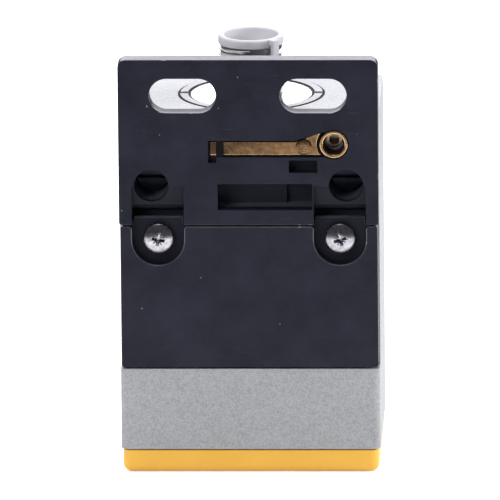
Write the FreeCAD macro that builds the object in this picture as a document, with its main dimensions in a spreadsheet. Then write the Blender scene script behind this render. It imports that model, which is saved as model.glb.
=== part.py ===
import FreeCAD, Part

import math
import os
import re

import Sketcher

# Block-type inductive proximity sensor: a die-cast housing that stands on its sensing cap, a black mounting
# base and rear cover on its back, a terminal cover on its front and a cable entry on its shoulder.
# Millimetres, +Z up, rear mounting face towards -Y, origin under the middle of the sensing face.

doc = FreeCAD.newDocument("proximity_sensor")
sheet = doc.addObject("Spreadsheet::Sheet", "Sizes")

SIZES = [
    ("width", "80", "width of the housing and the mounting base"),
    ("depth", "55", "depth from the mounting face to the front face"),
    ("tongue_height", "18", "reach of the mounting base over the housing's top face"),
    ("shoulder", "113.3", "height of the housing's top face"),
    ("base_drop", "34.3", "reach of the mounting base under the housing's top face"),
    ("band_top", "33.3", "height of the full-depth metal band"),
    ("cap_height", "7.7", "height of the sensing cap under the metal"),
    ("wall", "3", "wall of the die-cast housing"),
    ("housing_radius", "2", "radius of the housing's upright edges"),
    ("plate", "6", "thickness of the two rear plates"),
    ("rear_gasket_thickness", "0.8", "flat gasket behind the rear plates"),
    ("gasket_width", "1.6", "width of the flat gaskets' bands"),
    ("cover_inset", "0.4", "how far the rear cover's sides stand back from the metal"),
    ("seam_gap", "0.45", "open seam between the rear plates and the band"),
    ("fit_gap", "0.2", "clearance between pieces that fit in one another"),
    ("seat_gap", "0.05", "clearance under a screw head or a seated piece"),
    ("tongue_radius", "2.5", "radius of the mounting base's upper corners"),
    ("plate_radius", "0.9", "radius of the other corners of the rear plates"),
    ("slot_spacing", "40.2", "distance between the mounting slots' middles"),
    ("slot_drop", "11.4", "mounting slots' middles under the base's upper edge"),
    ("slot_length", "20.6", "overall length of a mounting slot"),
    ("slot_width", "10.8", "width of a mounting slot"),
    ("boss_depth", "14", "depth of the mounting base's inner block"),
    ("boss_roof", "3.2", "plastic of the inner block over the screw wells"),
    ("earth_lug_side", "5.5", "half the width of the housing's lug for the earth stud"),
    ("recess_inset", "12", "screw recesses' middles from the side edges"),
    ("recess_drop", "4.65", "middle of a recess's round end under the parting line"),
    ("recess_radius", "8", "radius of a screw recess's round end"),
    ("recess_depth", "4.4", "depth of a screw recess in the rear cover"),
    ("tab_rise", "1.75", "how far a screw recess's floor runs up over the parting line"),
    ("ramp_rise", "12.3", "upper end of a recess's ramp over the parting line"),
    ("ramp_shallow", "1.6", "depth of a recess at its upper end"),
    ("knee_rise", "6", "bend of a recess's ramp over the parting line"),
    ("knee_depth", "2.4", "depth of a recess at its ramp's bend"),
    ("foot_rise", "2.2", "lower end of a recess's ramp over the parting line"),
    ("ramp_depth", "11", "depth of a recess at its ramp's lower end"),
    ("screw_drop", "4.9", "retaining screws' axes under the parting line"),
    ("screw_diameter", "5", "shank of the retaining and base screws"),
    ("screw_length", "14", "shank length of the retaining and base screws"),
    ("head_diameter", "9.4", "head of the retaining and base screws"),
    ("head_height", "3.6", "head height of the retaining and base screws"),
    ("drive_reach", "2.6", "half the span of a cross recess"),
    ("drive_width", "1.2", "width of an arm of a cross recess"),
    ("drive_depth", "1.8", "depth of a cross recess"),
    ("thread_gap", "0.05", "radial clearance of a screw in its thread"),
    ("shank_gap", "0.35", "radial clearance of a screw in a plain hole"),
    ("lug_wall", "2.1", "metal round a screw hole in the housing"),
    ("well_inset", "10", "base screws' axes from the side edges"),
    ("well_rise", "12.3", "base screws' axes over the parting line"),
    ("base_hole_diameter", "10.6", "deep round holes of the base screws"),
    ("base_hole_depth", "17", "depth of the base screws' head seats"),
    ("window_left", "-9.5", "left edge of the rectangular recess"),
    ("window_right", "19.6", "right edge of the rectangular recess"),
    ("window_rise", "4.8", "rectangular recess's lower edge over the parting line"),
    ("window_height", "8.2", "height of the rectangular recess"),
    ("window_depth", "9", "depth of the rectangular recess"),
    ("window_step", "11.5", "left edge of the recess's deeper end"),
    ("window_step_depth", "11", "depth of the recess's deeper end"),
    ("pit_reach", "13.8", "small recess's left edge from the earth bush's axis"),
    ("pit_length", "8.7", "length of the small recess"),
    ("pit_height", "3.9", "height of the small recess"),
    ("pit_drop", "5", "small recess's upper edge under the earth bush's axis"),
    ("pit_depth", "4.5", "depth of the small recess"),
    ("strip_reach", "38.1", "earth strip's left end from the earth bush's axis"),
    ("strip_low", "3.5", "earth strip's lower edge under the earth bush's axis"),
    ("strip_width", "4.2", "width of the earth strip"),
    ("strip_thickness", "1.1", "thickness of the earth strip"),
    ("strip_sink", "0.9", "depth of the earth strip under the rear face"),
    ("fan_reach", "11.8", "start of the widened end from the earth bush's axis"),
    ("fan_cut", "3.3", "end of the widened end from the earth bush's axis"),
    ("fan_rise", "3.4", "upper corner of the widened end over the earth bush's axis"),
    ("groove_margin", "0.5", "room round the earth strip in its groove"),
    ("groove_tail", "2.2", "how far the groove's left end runs down"),
    ("bridge_place", "1.9", "bridge's left edge from the earth strip's left end"),
    ("bridge_width", "2.3", "width of the bridge over the earth strip"),
    ("bridge_thickness", "0.8", "thickness of the bridge over the strip"),
    ("rivet_reach", "9.2", "earth rivet's axis from the earth bush's axis"),
    ("rivet_drop", "0.9", "earth rivet's axis under the earth bush's axis"),
    ("rivet_head", "5", "head diameter of the earth rivet"),
    ("rivet_head_height", "0.7", "head height of the earth rivet"),
    ("rivet_diameter", "2.6", "shank of the earth rivet"),
    ("rivet_length", "3.6", "shank length of the earth rivet"),
    ("bush_inset", "13.7", "earth bush's axis from the right edge"),
    ("bush_drop", "8.8", "earth bush's axis under the housing's top face"),
    ("bush_diameter", "8.8", "outside of the earth bush"),
    ("bush_bore", "6.6", "bore of the earth bush"),
    ("bush_length", "5.2", "length of the earth bush"),
    ("bush_sink", "0.2", "depth of the earth bush's end under the rear face"),
    ("bush_room", "0.85", "gap between earth strip and earth bush"),
    ("stud_diameter", "5.2", "earth stud that stands behind the bush"),
    ("stud_sink", "6.6", "depth of the earth stud's end under the rear face"),
    ("stud_bore", "3", "bore in the earth stud's end"),
    ("stud_bore_depth", "4", "depth of that bore"),
    ("stud_grip", "7", "length of the earth stud in the housing"),
    ("earth_lug", "9", "depth of the housing's lug for the earth stud"),
    ("entry_hole", "22.4", "hole for the cable entry in the shoulder"),
    ("entry_bore", "18.1", "bore of the cable entry"),
    ("thread_diameter", "20.95", "outside of the cable entry's thread"),
    ("thread_rise", "17", "cable entry's rim over the housing's top face"),
    ("spigot_diameter", "21.8", "part of the cable entry under its flange"),
    ("spigot_length", "10.5", "reach of the cable entry under the shoulder"),
    ("flange_thickness", "1.75", "thickness of the cable entry's flange"),
    ("collar_margin", "1.85", "split collar's distance from the shoulder's edges"),
    ("collar_sink", "1.8", "depth of the seat of flange and collar in the shoulder"),
    ("collar_stand", "0.2", "split collar's top over the shoulder"),
    ("collar_gap", "0.45", "gap between flange and collar"),
    ("collar_width", "3", "width of the split collar"),
    ("split_gap", "0.5", "gap between the two halves of the collar"),
    ("locknut_across", "26.4", "width across flats of the entry locknut"),
    ("locknut_height", "5", "height of the entry locknut"),
    ("plug_gap", "0.08", "radial clearance of the transit plug"),
    ("plug_wall", "0.77", "wall of the transit plug"),
    ("plug_reach", "12", "depth of the transit plug in the entry"),
    ("plug_flange_diameter", "20.3", "flange of the transit plug"),
    ("plug_flange", "1.8", "thickness of the transit plug's flange"),
    ("tab_width", "2.6", "width of the transit plug's pull tab"),
    ("tab_thickness", "1.2", "thickness of the pull tab"),
    ("tab_drop", "4", "length of the pull tab under the flange"),
    ("tab_gap", "0.4", "room between pull tab and thread"),
    ("tab_angle", "312", "place of the pull tab round the entry, in degrees"),
    ("cap_inset", "0.5", "how far the sensing cap stands back from the metal"),
    ("cap_radius", "2.6", "radius of the sensing cap's edges"),
    ("cap_floor", "2.4", "thickness of the sensing face"),
    ("cap_wall", "2", "wall of the sensing cap's skirt"),
    ("skirt_height", "8", "reach of the cap's skirt into the housing"),
    ("cap_seal_thickness", "0.4", "seal between cap and housing"),
    ("core_side", "13.8", "ferrite core's ends from the cap's side walls"),
    ("core_end", "7.3", "ferrite core's faces from the cap's rear and front walls"),
    ("core_height", "13", "height of the ferrite core"),
    ("core_limb", "6", "outer limbs of the ferrite core"),
    ("core_back", "4", "back of the ferrite core"),
    ("rib_height", "4", "height of the cap's ribs beside the core"),
    ("rib_width", "1.2", "width of the cap's ribs beside the core"),
    ("rib_length", "12", "length of the cap's ribs beside the core"),
    ("bobbin_wall", "0.9", "wall of the coil bobbin"),
    ("bobbin_room", "1.1", "room between the bobbin's flanges and the core's outer limbs"),
    ("winding_build", "5.5", "thickness of the coil winding round the bobbin"),
    ("winding_radius", "3", "radius of the coil winding's outer corners"),
    ("bobbin_lip", "0.3", "bobbin's flanges over the winding"),
    ("resin_room", "0.6", "resin filling's lower face over the core"),
    ("board_room", "4.5", "circuit board's rear face behind the terminal block"),
    ("board_thickness", "1.6", "thickness of the circuit board"),
    ("board_width", "44", "width of the circuit board"),
    ("board_sink", "4", "circuit board's lower edge over the resin's lower face"),
    ("board_stand", "12", "circuit board's upper edge over the resin"),
    ("lamp_spacing", "14", "distance between the two status lamps"),
    ("lamp_drop", "7", "status lamps under the resin's upper face"),
    ("guide_width", "5", "width of a light guide"),
    ("guide_height", "2.4", "height of a light guide"),
    ("lamp_width", "3", "width of a status lamp's package"),
    ("lamp_rise", "1.8", "height of a status lamp's package"),
    ("lamp_thickness", "1.4", "thickness of a status lamp's package"),
    ("pole_pitch", "11", "pitch of the terminal poles"),
    ("block_width", "38", "width of the terminal block"),
    ("block_room", "1.5", "terminal block's front behind the terminal cover's seat"),
    ("block_depth", "15", "depth of the terminal block"),
    ("block_height", "19", "height of the terminal block"),
    ("cell_width", "8", "width of a terminal block's cell"),
    ("cell_depth", "8", "depth of a terminal block's cell"),
    ("cell_drop", "13", "height of a terminal block's cell"),
    ("clamp_height", "8", "height of a wire clamp"),
    ("clamp_hole", "4", "wire opening of a clamp"),
    ("pole_screw_diameter", "3.5", "headless terminal screws"),
    ("pin_width", "3", "width of a contact pin"),
    ("pin_thickness", "0.8", "thickness of a contact pin"),
    ("cover_reach", "54", "terminal cover's lower edge under the housing's top face"),
    ("cover_drop", "4.5", "terminal cover's upper edge under the housing's top face"),
    ("cover_thickness", "4.5", "thickness of the terminal cover"),
    ("front_gasket_thickness", "1", "gasket behind the terminal cover"),
    ("seat_wall", "2.6", "wall that the terminal cover is screwed to"),
    ("seat_frame", "5", "frame round the terminal opening"),
    ("seat_corner", "6", "corner blocks of the terminal opening"),
    ("cover_screw_inset", "5.5", "cover screws' distance from the cover's edges"),
    ("cover_screw_diameter", "4", "shank of a cover screw"),
    ("cover_head", "7", "head of a cover screw"),
    ("cover_head_height", "2.4", "head height of a cover screw"),
    ("cover_sink", "2.8", "depth of a cover screw's counterbore"),
    ("lip_height", "3", "reach of the terminal cover's lip"),
    ("lip_wall", "1.6", "wall of the terminal cover's lip"),
]

for row, (alias, number, note) in enumerate(SIZES, start=1):
    sheet.set(f"A{row}", note)
    sheet.set(f"B{row}", number)
    sheet.setAlias(f"B{row}", alias)
doc.recompute()

# Places and sizes that follow from those in the sheet.
FOLLOWING = {
    "roof": "wall + collar_sink",
    "parting": "shoulder - base_drop",
    "tongue_top": "shoulder + tongue_height",
    "slot_height": "tongue_top - slot_drop",
    "recess_spacing": "width - 2 * recess_inset",
    "recess_height": "parting - recess_drop",
    "screw_height": "parting - screw_drop",
    "ramp_top": "parting + ramp_rise",
    "base_screw_spacing": "width - 2 * well_inset",
    "base_screw_height": "parting + well_rise",
    "boss_top": "base_screw_height + base_hole_diameter / 2 + boss_roof",
    "window_bottom": "parting + window_rise",
    "window_top": "window_bottom + window_height",
    "bush_across": "width / 2 - bush_inset",
    "bush_height": "shoulder - bush_drop",
    "pit_left": "bush_across - pit_reach",
    "pit_right": "pit_left + pit_length",
    "pit_top": "bush_height - pit_drop",
    "pit_bottom": "pit_top - pit_height",
    "strip_left": "bush_across - strip_reach",
    "strip_bottom": "bush_height - strip_low",
    "strip_top": "strip_bottom + strip_width",
    "fan_left": "bush_across - fan_reach",
    "fan_right": "bush_across - fan_cut",
    "fan_top": "bush_height + fan_rise",
    "bridge_left": "strip_left + bridge_place",
    "bridge_right": "bridge_left + bridge_width",
    "rivet_across": "bush_across - rivet_reach",
    "rivet_height": "bush_height - rivet_drop",
    "entry_offset": "(plate + rear_gasket_thickness) / 2",
    "collar_diameter": "depth - plate - rear_gasket_thickness - 2 * collar_margin",
    "flange_diameter": "collar_diameter - 2 * collar_width - 2 * collar_gap",
    "flange_bottom": "shoulder - collar_sink + seat_gap",
    "flange_top": "flange_bottom + flange_thickness",
    "thread_top": "shoulder + thread_rise",
    "seat_face": "depth / 2 - cover_thickness - front_gasket_thickness - seat_wall",
    "locknut_bottom": "shoulder - roof - seat_gap - locknut_height",
    "core_length": "width - 2 * wall - 2 * fit_gap - 2 * cap_wall - 2 * core_side",
    "core_depth": "depth - 2 * wall - 2 * fit_gap - 2 * cap_wall - 2 * core_end",
    "bobbin_reach": "fit_gap + bobbin_wall + winding_build + bobbin_lip",
    "core_post": "core_length - 2 * core_limb - 2 * bobbin_room - 2 * bobbin_reach",
    "core_top": "cap_floor + core_height",
    "core_roof": "core_top - core_back",
    "cover_bottom": "shoulder - cover_reach",
    "cover_top": "shoulder - cover_drop",
    "resin_bottom": "core_top + resin_room",
    "resin_top": "cover_bottom - wall - seat_gap",
    "block_front": "seat_face - block_room",
    "block_rear": "block_front - block_depth",
    "board_rear": "block_rear - board_room",
    "board_face": "board_rear + board_thickness",
    "board_bottom": "resin_bottom + board_sink",
    "board_top": "resin_top + board_stand",
    "lamp_height": "resin_top - lamp_drop",
}
REAR = "depth / 2"
FRONT = "-depth / 2"
RIM = "(depth / 2 - plate - rear_gasket_thickness)"
PLATE_FACE = "(depth / 2 - plate)"
INSIDE = "(width / 2 - wall)"
POLES = 3
SIDES = ("-", "+")
parts = []


def bound(text):
    """Spell out the sizes that follow from others, and write the sheet's name before the rest."""
    def spelled(word):
        name = word.group(0)
        return f"({bound(FOLLOWING[name])})" if name in FOLLOWING else "Sizes." + name

    return re.sub(r"\b[a-z_]+\b(?!\()", spelled, text)


def bind(item, **sizes):
    for name, text in sizes.items():
        item.setExpression(name, bound(text))


def place(item, x="0", y="0", z="0"):
    for axis, text in zip("xyz", (x, y, z)):
        item.setExpression("Placement.Base." + axis, bound(text))
    return item


def turn(item, axis, degrees):
    item.Placement = FreeCAD.Placement(FreeCAD.Vector(), FreeCAD.Rotation(FreeCAD.Vector(*axis), degrees))
    return item


def named(item, label):
    item.Label = label
    parts.append(item)
    return item


def sketch_on(body, role, name, offset="0"):
    """A sketch on one of the body's origin planes, moved along the plane's normal."""
    sketch = body.newObject("Sketcher::SketchObject", name)
    plane = next(item for item in body.Origin.OriginFeatures if item.Role == role)
    sketch.AttachmentSupport = [(plane, "")]
    sketch.MapMode = "FlatFace"
    sketch.setExpression("AttachmentOffset.Base.z", bound(offset))
    return sketch


def tie(sketch, kind, *target, start, text):
    """One driving dimension of a sketch, bound to the sheet."""
    index = sketch.addConstraint(Sketcher.Constraint(kind, *target, start))
    sketch.setExpression(f"Constraints[{index}]", bound(text))


def polygon(sketch, points):
    """A closed outline of straight lines; each point is a pair of expressions."""
    first = sketch.GeometryCount
    count = len(points)
    angles = [2 * math.pi * step / count for step in range(count)]
    rough = [FreeCAD.Vector(10 * math.cos(angle), 10 * math.sin(angle), 0) for angle in angles]
    for step in range(count):
        sketch.addGeometry(Part.LineSegment(rough[step], rough[(step + 1) % count]), False)
    for step in range(count):
        following = first + (step + 1) % count
        sketch.addConstraint(Sketcher.Constraint("Coincident", first + step, 2, following, 1))
    for step, (across, up) in enumerate(points):
        tie(sketch, "DistanceX", first + step, 1, start=rough[step].x, text=across)
        tie(sketch, "DistanceY", first + step, 1, start=rough[step].y, text=up)


def rectangle(sketch, left, bottom, right, top):
    polygon(sketch, [(left, bottom), (right, bottom), (right, top), (left, top)])


def circle(sketch, across, up, radius):
    index = sketch.addGeometry(Part.Circle(FreeCAD.Vector(1, 1, 0), FreeCAD.Vector(0, 0, 1), 1), False)
    tie(sketch, "DistanceX", index, 3, start=1, text=across)
    tie(sketch, "DistanceY", index, 3, start=1, text=up)
    tie(sketch, "Radius", index, start=1, text=radius)


def arc(sketch, centre, radius, begin, end):
    round_line = Part.Circle(FreeCAD.Vector(*centre, 0), FreeCAD.Vector(0, 0, 1), radius)
    return sketch.addGeometry(Part.ArcOfCircle(round_line, begin, end), False)


def line(sketch, begin, end):
    return sketch.addGeometry(Part.LineSegment(FreeCAD.Vector(*begin, 0), FreeCAD.Vector(*end, 0)), False)


def slot(sketch, left, right, up, radius):
    """A level slot with round ends; left and right are its end arcs' middles."""
    far = arc(sketch, (20, 0), 5, -math.pi / 2, math.pi / 2)
    above = line(sketch, (20, 5), (0, 5))
    near = arc(sketch, (0, 0), 5, math.pi / 2, 3 * math.pi / 2)
    below = line(sketch, (0, -5), (20, -5))
    around = (far, above, near, below)
    for step, edge in enumerate(around):
        sketch.addConstraint(Sketcher.Constraint("Tangent", edge, 2, around[(step + 1) % len(around)], 1))
    sketch.addConstraint(Sketcher.Constraint("Horizontal", above))
    sketch.addConstraint(Sketcher.Constraint("Equal", near, far))
    tie(sketch, "DistanceX", near, 3, start=0, text=left)
    tie(sketch, "DistanceX", far, 3, start=20, text=right)
    tie(sketch, "DistanceY", near, 3, start=0, text=up)
    tie(sketch, "Radius", near, start=5, text=radius)


def trough(sketch, across, up, radius, top):
    """An upright outline with a round lower end, as a letter U closed by a level top line."""
    bottom = arc(sketch, (0, 0), 5, math.pi, 2 * math.pi)
    right = line(sketch, (5, 0), (5, 10))
    lid = line(sketch, (5, 10), (-5, 10))
    left = line(sketch, (-5, 10), (-5, 0))
    sketch.addConstraint(Sketcher.Constraint("Tangent", bottom, 2, right, 1))
    sketch.addConstraint(Sketcher.Constraint("Coincident", right, 2, lid, 1))
    sketch.addConstraint(Sketcher.Constraint("Coincident", lid, 2, left, 1))
    sketch.addConstraint(Sketcher.Constraint("Tangent", left, 2, bottom, 1))
    sketch.addConstraint(Sketcher.Constraint("Vertical", right))
    sketch.addConstraint(Sketcher.Constraint("Vertical", left))
    sketch.addConstraint(Sketcher.Constraint("Horizontal", lid))
    tie(sketch, "DistanceX", bottom, 3, start=0, text=across)
    tie(sketch, "DistanceY", bottom, 3, start=0, text=up)
    tie(sketch, "Radius", bottom, start=5, text=radius)
    tie(sketch, "DistanceY", lid, 1, start=10, text=top)


def feature(body, kind, sketch, **sizes):
    item = body.newObject("PartDesign::" + kind, sketch.Name + kind)
    item.Profile = sketch
    sketch.Visibility = False
    bind(item, **sizes)
    return item


def pad(body, sketch, length, inwards=False):
    item = feature(body, "Pad", sketch, Length=length)
    item.Reversed = inwards
    return item


def pocket(body, sketch, length, turned=False):
    """Cut the sketch into the body, and stop if the cut takes nothing away."""
    doc.recompute()
    before = body.Shape.Volume
    item = feature(body, "Pocket", sketch, Length=length)
    item.Reversed = turned
    doc.recompute()
    if body.Shape.Volume > before - 0.001:
        raise RuntimeError(f"{sketch.Name} cuts nothing")
    return item


def revolve(body, sketch, degrees=360):
    item = feature(body, "Revolution", sketch)
    item.ReferenceAxis = (sketch, ["V_Axis"])
    item.Angle = degrees
    return item


def dress(body, kind, name, size, test):
    """A fillet or chamfer on those edges of the body that pass a test of their middle and direction."""
    doc.recompute()
    base = body.Tip
    edges = []
    for number, edge in enumerate(base.Shape.Edges, start=1):
        if edge.Curve.TypeId != "Part::GeomLine":
            continue
        middle = edge.valueAt((edge.FirstParameter + edge.LastParameter) / 2)
        if test(middle, edge.tangentAt(edge.FirstParameter)):
            edges.append(f"Edge{number}")
    item = body.newObject("PartDesign::" + kind, name)
    item.Base = (base, edges)
    bind(item, **{"Radius" if kind == "Fillet" else "Size": size})
    return item


def size(text):
    return float(sheet.evalExpression(bound(text)))


def near(one, other):
    return abs(one - other) < 0.01


def new_body(label):
    return named(doc.addObject("PartDesign::Body", label), label)


def block(name, left, front, bottom, length, width, height):
    item = doc.addObject("Part::Box", name)
    bind(item, Length=length, Width=width, Height=height)
    return place(item, left, front, bottom)


def rod(name, radius, height, x, y, z, along_y=False):
    """A cylinder that stands on its place, or lies from there towards +Y."""
    item = doc.addObject("Part::Cylinder", name)
    if along_y:
        turn(item, (1, 0, 0), -90)
    bind(item, Radius=radius, Height=height)
    return place(item, x, y, z)


def cut(name, base, tools):
    joined = tools[0]
    if len(tools) > 1:
        joined = doc.addObject("Part::MultiFuse", name + "_tools")
        joined.Shapes = tools
    item = doc.addObject("Part::Cut", name)
    item.Base = base
    item.Tool = joined
    return item


def group(label, members):
    item = doc.addObject("Part::Compound", label)
    item.Links = members
    return named(item, label)


def both_sides(spacing):
    return [f"{side}({spacing}) / 2" for side in SIDES]


def make_housing():
    body = new_body("housing")
    band = sketch_on(body, "XY_Plane", "BandPlan", "cap_height")
    rectangle(band, "-width / 2", "-depth / 2", "width / 2", "depth / 2")
    pad(body, band, "band_top - cap_height")
    tower = sketch_on(body, "XY_Plane", "TowerPlan", "cap_height")
    rectangle(tower, "-width / 2", "-" + RIM, "width / 2", "depth / 2")
    pad(body, tower, "shoulder - cap_height")
    half_width = size("width") / 2
    half_depth = size("depth") / 2
    dress(body, "Fillet", "UprightEdges", "housing_radius",
          lambda middle, along: near(abs(along.z), 1) and near(abs(middle.x), half_width)
          and near(abs(middle.y), half_depth))

    cavity = sketch_on(body, "XY_Plane", "CavityPlan", "cap_height")
    rectangle(cavity, "-" + INSIDE, "wall - depth / 2", INSIDE, "depth / 2 - wall")
    pocket(body, cavity, "shoulder - roof - cap_height", turned=True)

    seat = sketch_on(body, "XZ_Plane", "CoverSeat", FRONT)
    rectangle(seat, "-width / 2 + wall / 2", "cover_bottom - wall", "width / 2 - wall / 2",
              "shoulder - wall / 2")
    pad(body, seat, "cover_thickness + front_gasket_thickness + seat_wall")
    recess = sketch_on(body, "XZ_Plane", "CoverRecess", FRONT)
    rectangle(recess, "-" + INSIDE, "cover_bottom", INSIDE, "cover_top")
    pocket(body, recess, "cover_thickness + front_gasket_thickness", turned=True)
    opening = sketch_on(body, "XZ_Plane", "TerminalOpening", FRONT)
    polygon(opening, terminal_opening("seat_frame"))
    pocket(body, opening, "cover_thickness + front_gasket_thickness + seat_wall", turned=True)

    lugs = sketch_on(body, "XZ_Plane", "RetainingLugs", RIM)
    base_lugs = sketch_on(body, "XZ_Plane", "BaseLugs", PLATE_FACE + " - boss_depth - fit_gap")
    for sketch, spacing, height in ((lugs, "recess_spacing", "screw_height"),
                                    (base_lugs, "base_screw_spacing", "base_screw_height")):
        reach = "(screw_diameter / 2 + lug_wall)"
        rectangle(sketch, f"{spacing} / 2 - {reach}", f"{height} - {reach}", "width / 2 - wall / 2",
                  f"{height} + {reach}")
        rectangle(sketch, "wall / 2 - width / 2", f"{height} - {reach}", f"{reach} - {spacing} / 2",
                  f"{height} + {reach}")
        pad(body, sketch, "screw_length", inwards=True)
    earth = sketch_on(body, "XZ_Plane", "EarthLug", RIM)
    rectangle(earth, "bush_across - earth_lug_side", "bush_height - earth_lug_side", "width / 2 - wall / 2",
              "shoulder - wall / 2")
    pad(body, earth, "earth_lug", inwards=True)

    holes = sketch_on(body, "XZ_Plane", "RetainingThreads", RIM)
    base_holes = sketch_on(body, "XZ_Plane", "BaseThreads", PLATE_FACE + " - boss_depth - fit_gap")
    for sketch, spacing, height in ((holes, "recess_spacing", "screw_height"),
                                    (base_holes, "base_screw_spacing", "base_screw_height")):
        for across in both_sides(spacing):
            circle(sketch, across, height, "screw_diameter / 2 + thread_gap")
        pocket(body, sketch, "screw_length")
    stud_hole = sketch_on(body, "XZ_Plane", "StudThread", RIM)
    circle(stud_hole, "bush_across", "bush_height", "stud_diameter / 2 + thread_gap")
    pocket(body, stud_hole, "stud_grip + fit_gap")
    cover_holes = sketch_on(body, "XZ_Plane", "CoverThreads", FRONT)
    for across, up in cover_screw_places():
        circle(cover_holes, across, up, "cover_screw_diameter / 2 + thread_gap")
    pocket(body, cover_holes, "cover_thickness + front_gasket_thickness + seat_wall", turned=True)
    lamp_holes = sketch_on(body, "XZ_Plane", "LampHoles", FRONT)
    for across in both_sides("lamp_spacing"):
        rectangle(lamp_holes, f"{across} - guide_width / 2 - thread_gap",
                  "lamp_height - guide_height / 2 - thread_gap", f"{across} + guide_width / 2 + thread_gap",
                  "lamp_height + guide_height / 2 + thread_gap")
    pocket(body, lamp_holes, "wall + seat_wall", turned=True)
    entry_seat = sketch_on(body, "XY_Plane", "EntrySeat", "shoulder")
    circle(entry_seat, "0", "entry_offset", "(collar_diameter + split_gap) / 2 + fit_gap")
    pocket(body, entry_seat, "collar_sink")
    entry = sketch_on(body, "XY_Plane", "EntryHole", "shoulder")
    circle(entry, "0", "entry_offset", "entry_hole / 2")
    pocket(body, entry, "roof + seat_wall")


def terminal_opening(inset):
    """The terminal opening's outline: a rectangle whose corners are left standing for the cover screws."""
    outer = f"({INSIDE} - {inset})"
    inner = f"({INSIDE} - seat_corner - {inset})"
    low = f"(cover_bottom + {inset})"
    low_step = f"(cover_bottom + seat_corner + {inset})"
    high = f"(cover_top - {inset})"
    high_step = f"(cover_top - seat_corner - {inset})"
    right = [(inner, low), (inner, low_step), (outer, low_step), (outer, high_step), (inner, high_step),
             (inner, high)]
    return right + [(f"-{across}", up) for across, up in reversed(right)]


def cover_screw_places():
    places = []
    for side in SIDES:
        for up in ("cover_bottom + cover_screw_inset", "cover_top - cover_screw_inset"):
            places.append((f"{side}({INSIDE} - cover_screw_inset)", up))
    return places


def make_mounting_base():
    body = new_body("mounting_base")
    face = sketch_on(body, "XZ_Plane", "BaseFace", REAR)
    rectangle(face, "-width / 2", "parting", "width / 2", "tongue_top")
    pad(body, face, "plate", inwards=True)
    half_width = size("width") / 2
    dress(body, "Fillet", "TongueCorners", "tongue_radius",
          lambda middle, along: near(abs(along.y), 1) and near(middle.z, size("tongue_top")))
    dress(body, "Fillet", "LowerCorners", "plate_radius",
          lambda middle, along: near(abs(along.y), 1) and near(middle.z, size("parting"))
          and near(abs(middle.x), half_width))
    inner = sketch_on(body, "XZ_Plane", "InnerBlock", PLATE_FACE)
    rectangle(inner, f"fit_gap - {INSIDE}", "parting", f"{INSIDE} - fit_gap", "boss_top")
    pad(body, inner, "boss_depth", inwards=True)
    notch = sketch_on(body, "XZ_Plane", "EarthNotch", PLATE_FACE)
    rectangle(notch, "bush_across - earth_lug_side - fit_gap", "bush_height - earth_lug_side - fit_gap",
              "width / 2", "shoulder")
    pocket(body, notch, "boss_depth")

    slots = sketch_on(body, "XZ_Plane", "MountingSlots", REAR)
    reach = "(slot_length - slot_width) / 2"
    for middle in both_sides("slot_spacing"):
        slot(slots, f"{middle} - {reach}", f"{middle} + {reach}", "slot_height", "slot_width / 2")
    pocket(body, slots, "plate")

    for number, side in enumerate(SIDES):
        ramp = sketch_on(body, "YZ_Plane", f"RecessRamp{number}",
                         f"{side}recess_spacing / 2 - recess_radius")
        polygon(ramp, [("-depth / 2", "parting"), ("ramp_depth - depth / 2", "parting"),
                       ("ramp_depth - depth / 2", "parting + foot_rise"),
                       ("knee_depth - depth / 2", "parting + knee_rise"),
                       ("ramp_shallow - depth / 2", "ramp_top"), ("-depth / 2", "ramp_top")])
        pocket(body, ramp, "2 * recess_radius", turned=True)
    wells = sketch_on(body, "XZ_Plane", "ScrewWells", REAR)
    shanks = sketch_on(body, "XZ_Plane", "ShankHoles", REAR)
    for across in both_sides("base_screw_spacing"):
        circle(wells, across, "base_screw_height", "base_hole_diameter / 2")
        circle(shanks, across, "base_screw_height", "screw_diameter / 2 + shank_gap")
    pocket(body, wells, "base_hole_depth")
    pocket(body, shanks, "plate + boss_depth")

    for name, edges, deep in (
        ("Window", ("window_left", "window_bottom", "window_right", "window_top"), "window_depth"),
        ("WindowStep", ("window_step", "window_bottom", "window_right", "window_top"), "window_step_depth"),
        ("SmallRecess", ("pit_left", "pit_bottom", "pit_right", "pit_top"), "pit_depth"),
    ):
        sketch = sketch_on(body, "XZ_Plane", name, REAR)
        rectangle(sketch, *edges)
        pocket(body, sketch, deep)

    groove = sketch_on(body, "XZ_Plane", "StripGroove", REAR)
    polygon(groove, [
        ("strip_left - groove_margin", "strip_bottom - groove_tail"),
        ("bridge_left", "strip_bottom - groove_tail"),
        ("bridge_left", "strip_bottom - groove_margin"),
        ("bush_across", "strip_bottom - groove_margin"),
        ("bush_across", "fan_top + groove_margin"),
        ("fan_right - groove_margin", "fan_top + groove_margin"),
        ("fan_left", "strip_top + groove_margin"),
        ("strip_left - groove_margin", "strip_top + groove_margin"),
    ])
    pocket(body, groove, "strip_sink + strip_thickness")
    bridge = sketch_on(body, "XZ_Plane", "StripBridge", REAR)
    rectangle(bridge, "bridge_left", "strip_bottom - groove_margin", "bridge_right",
              "strip_top + groove_margin")
    pad(body, bridge, "bridge_thickness", inwards=True)
    bush_well = sketch_on(body, "XZ_Plane", "BushWell", REAR)
    circle(bush_well, "bush_across", "bush_height", "bush_diameter / 2 + fit_gap")
    pocket(body, bush_well, "bush_sink + bush_length")
    stud_hole = sketch_on(body, "XZ_Plane", "StudHole", REAR)
    circle(stud_hole, "bush_across", "bush_height", "stud_diameter / 2 + fit_gap")
    pocket(body, stud_hole, "plate")
    rivet_hole = sketch_on(body, "XZ_Plane", "RivetHole", REAR)
    circle(rivet_hole, "rivet_across", "rivet_height", "rivet_diameter / 2 + thread_gap")
    pocket(body, rivet_hole, "strip_sink + rivet_length + fit_gap")


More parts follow.
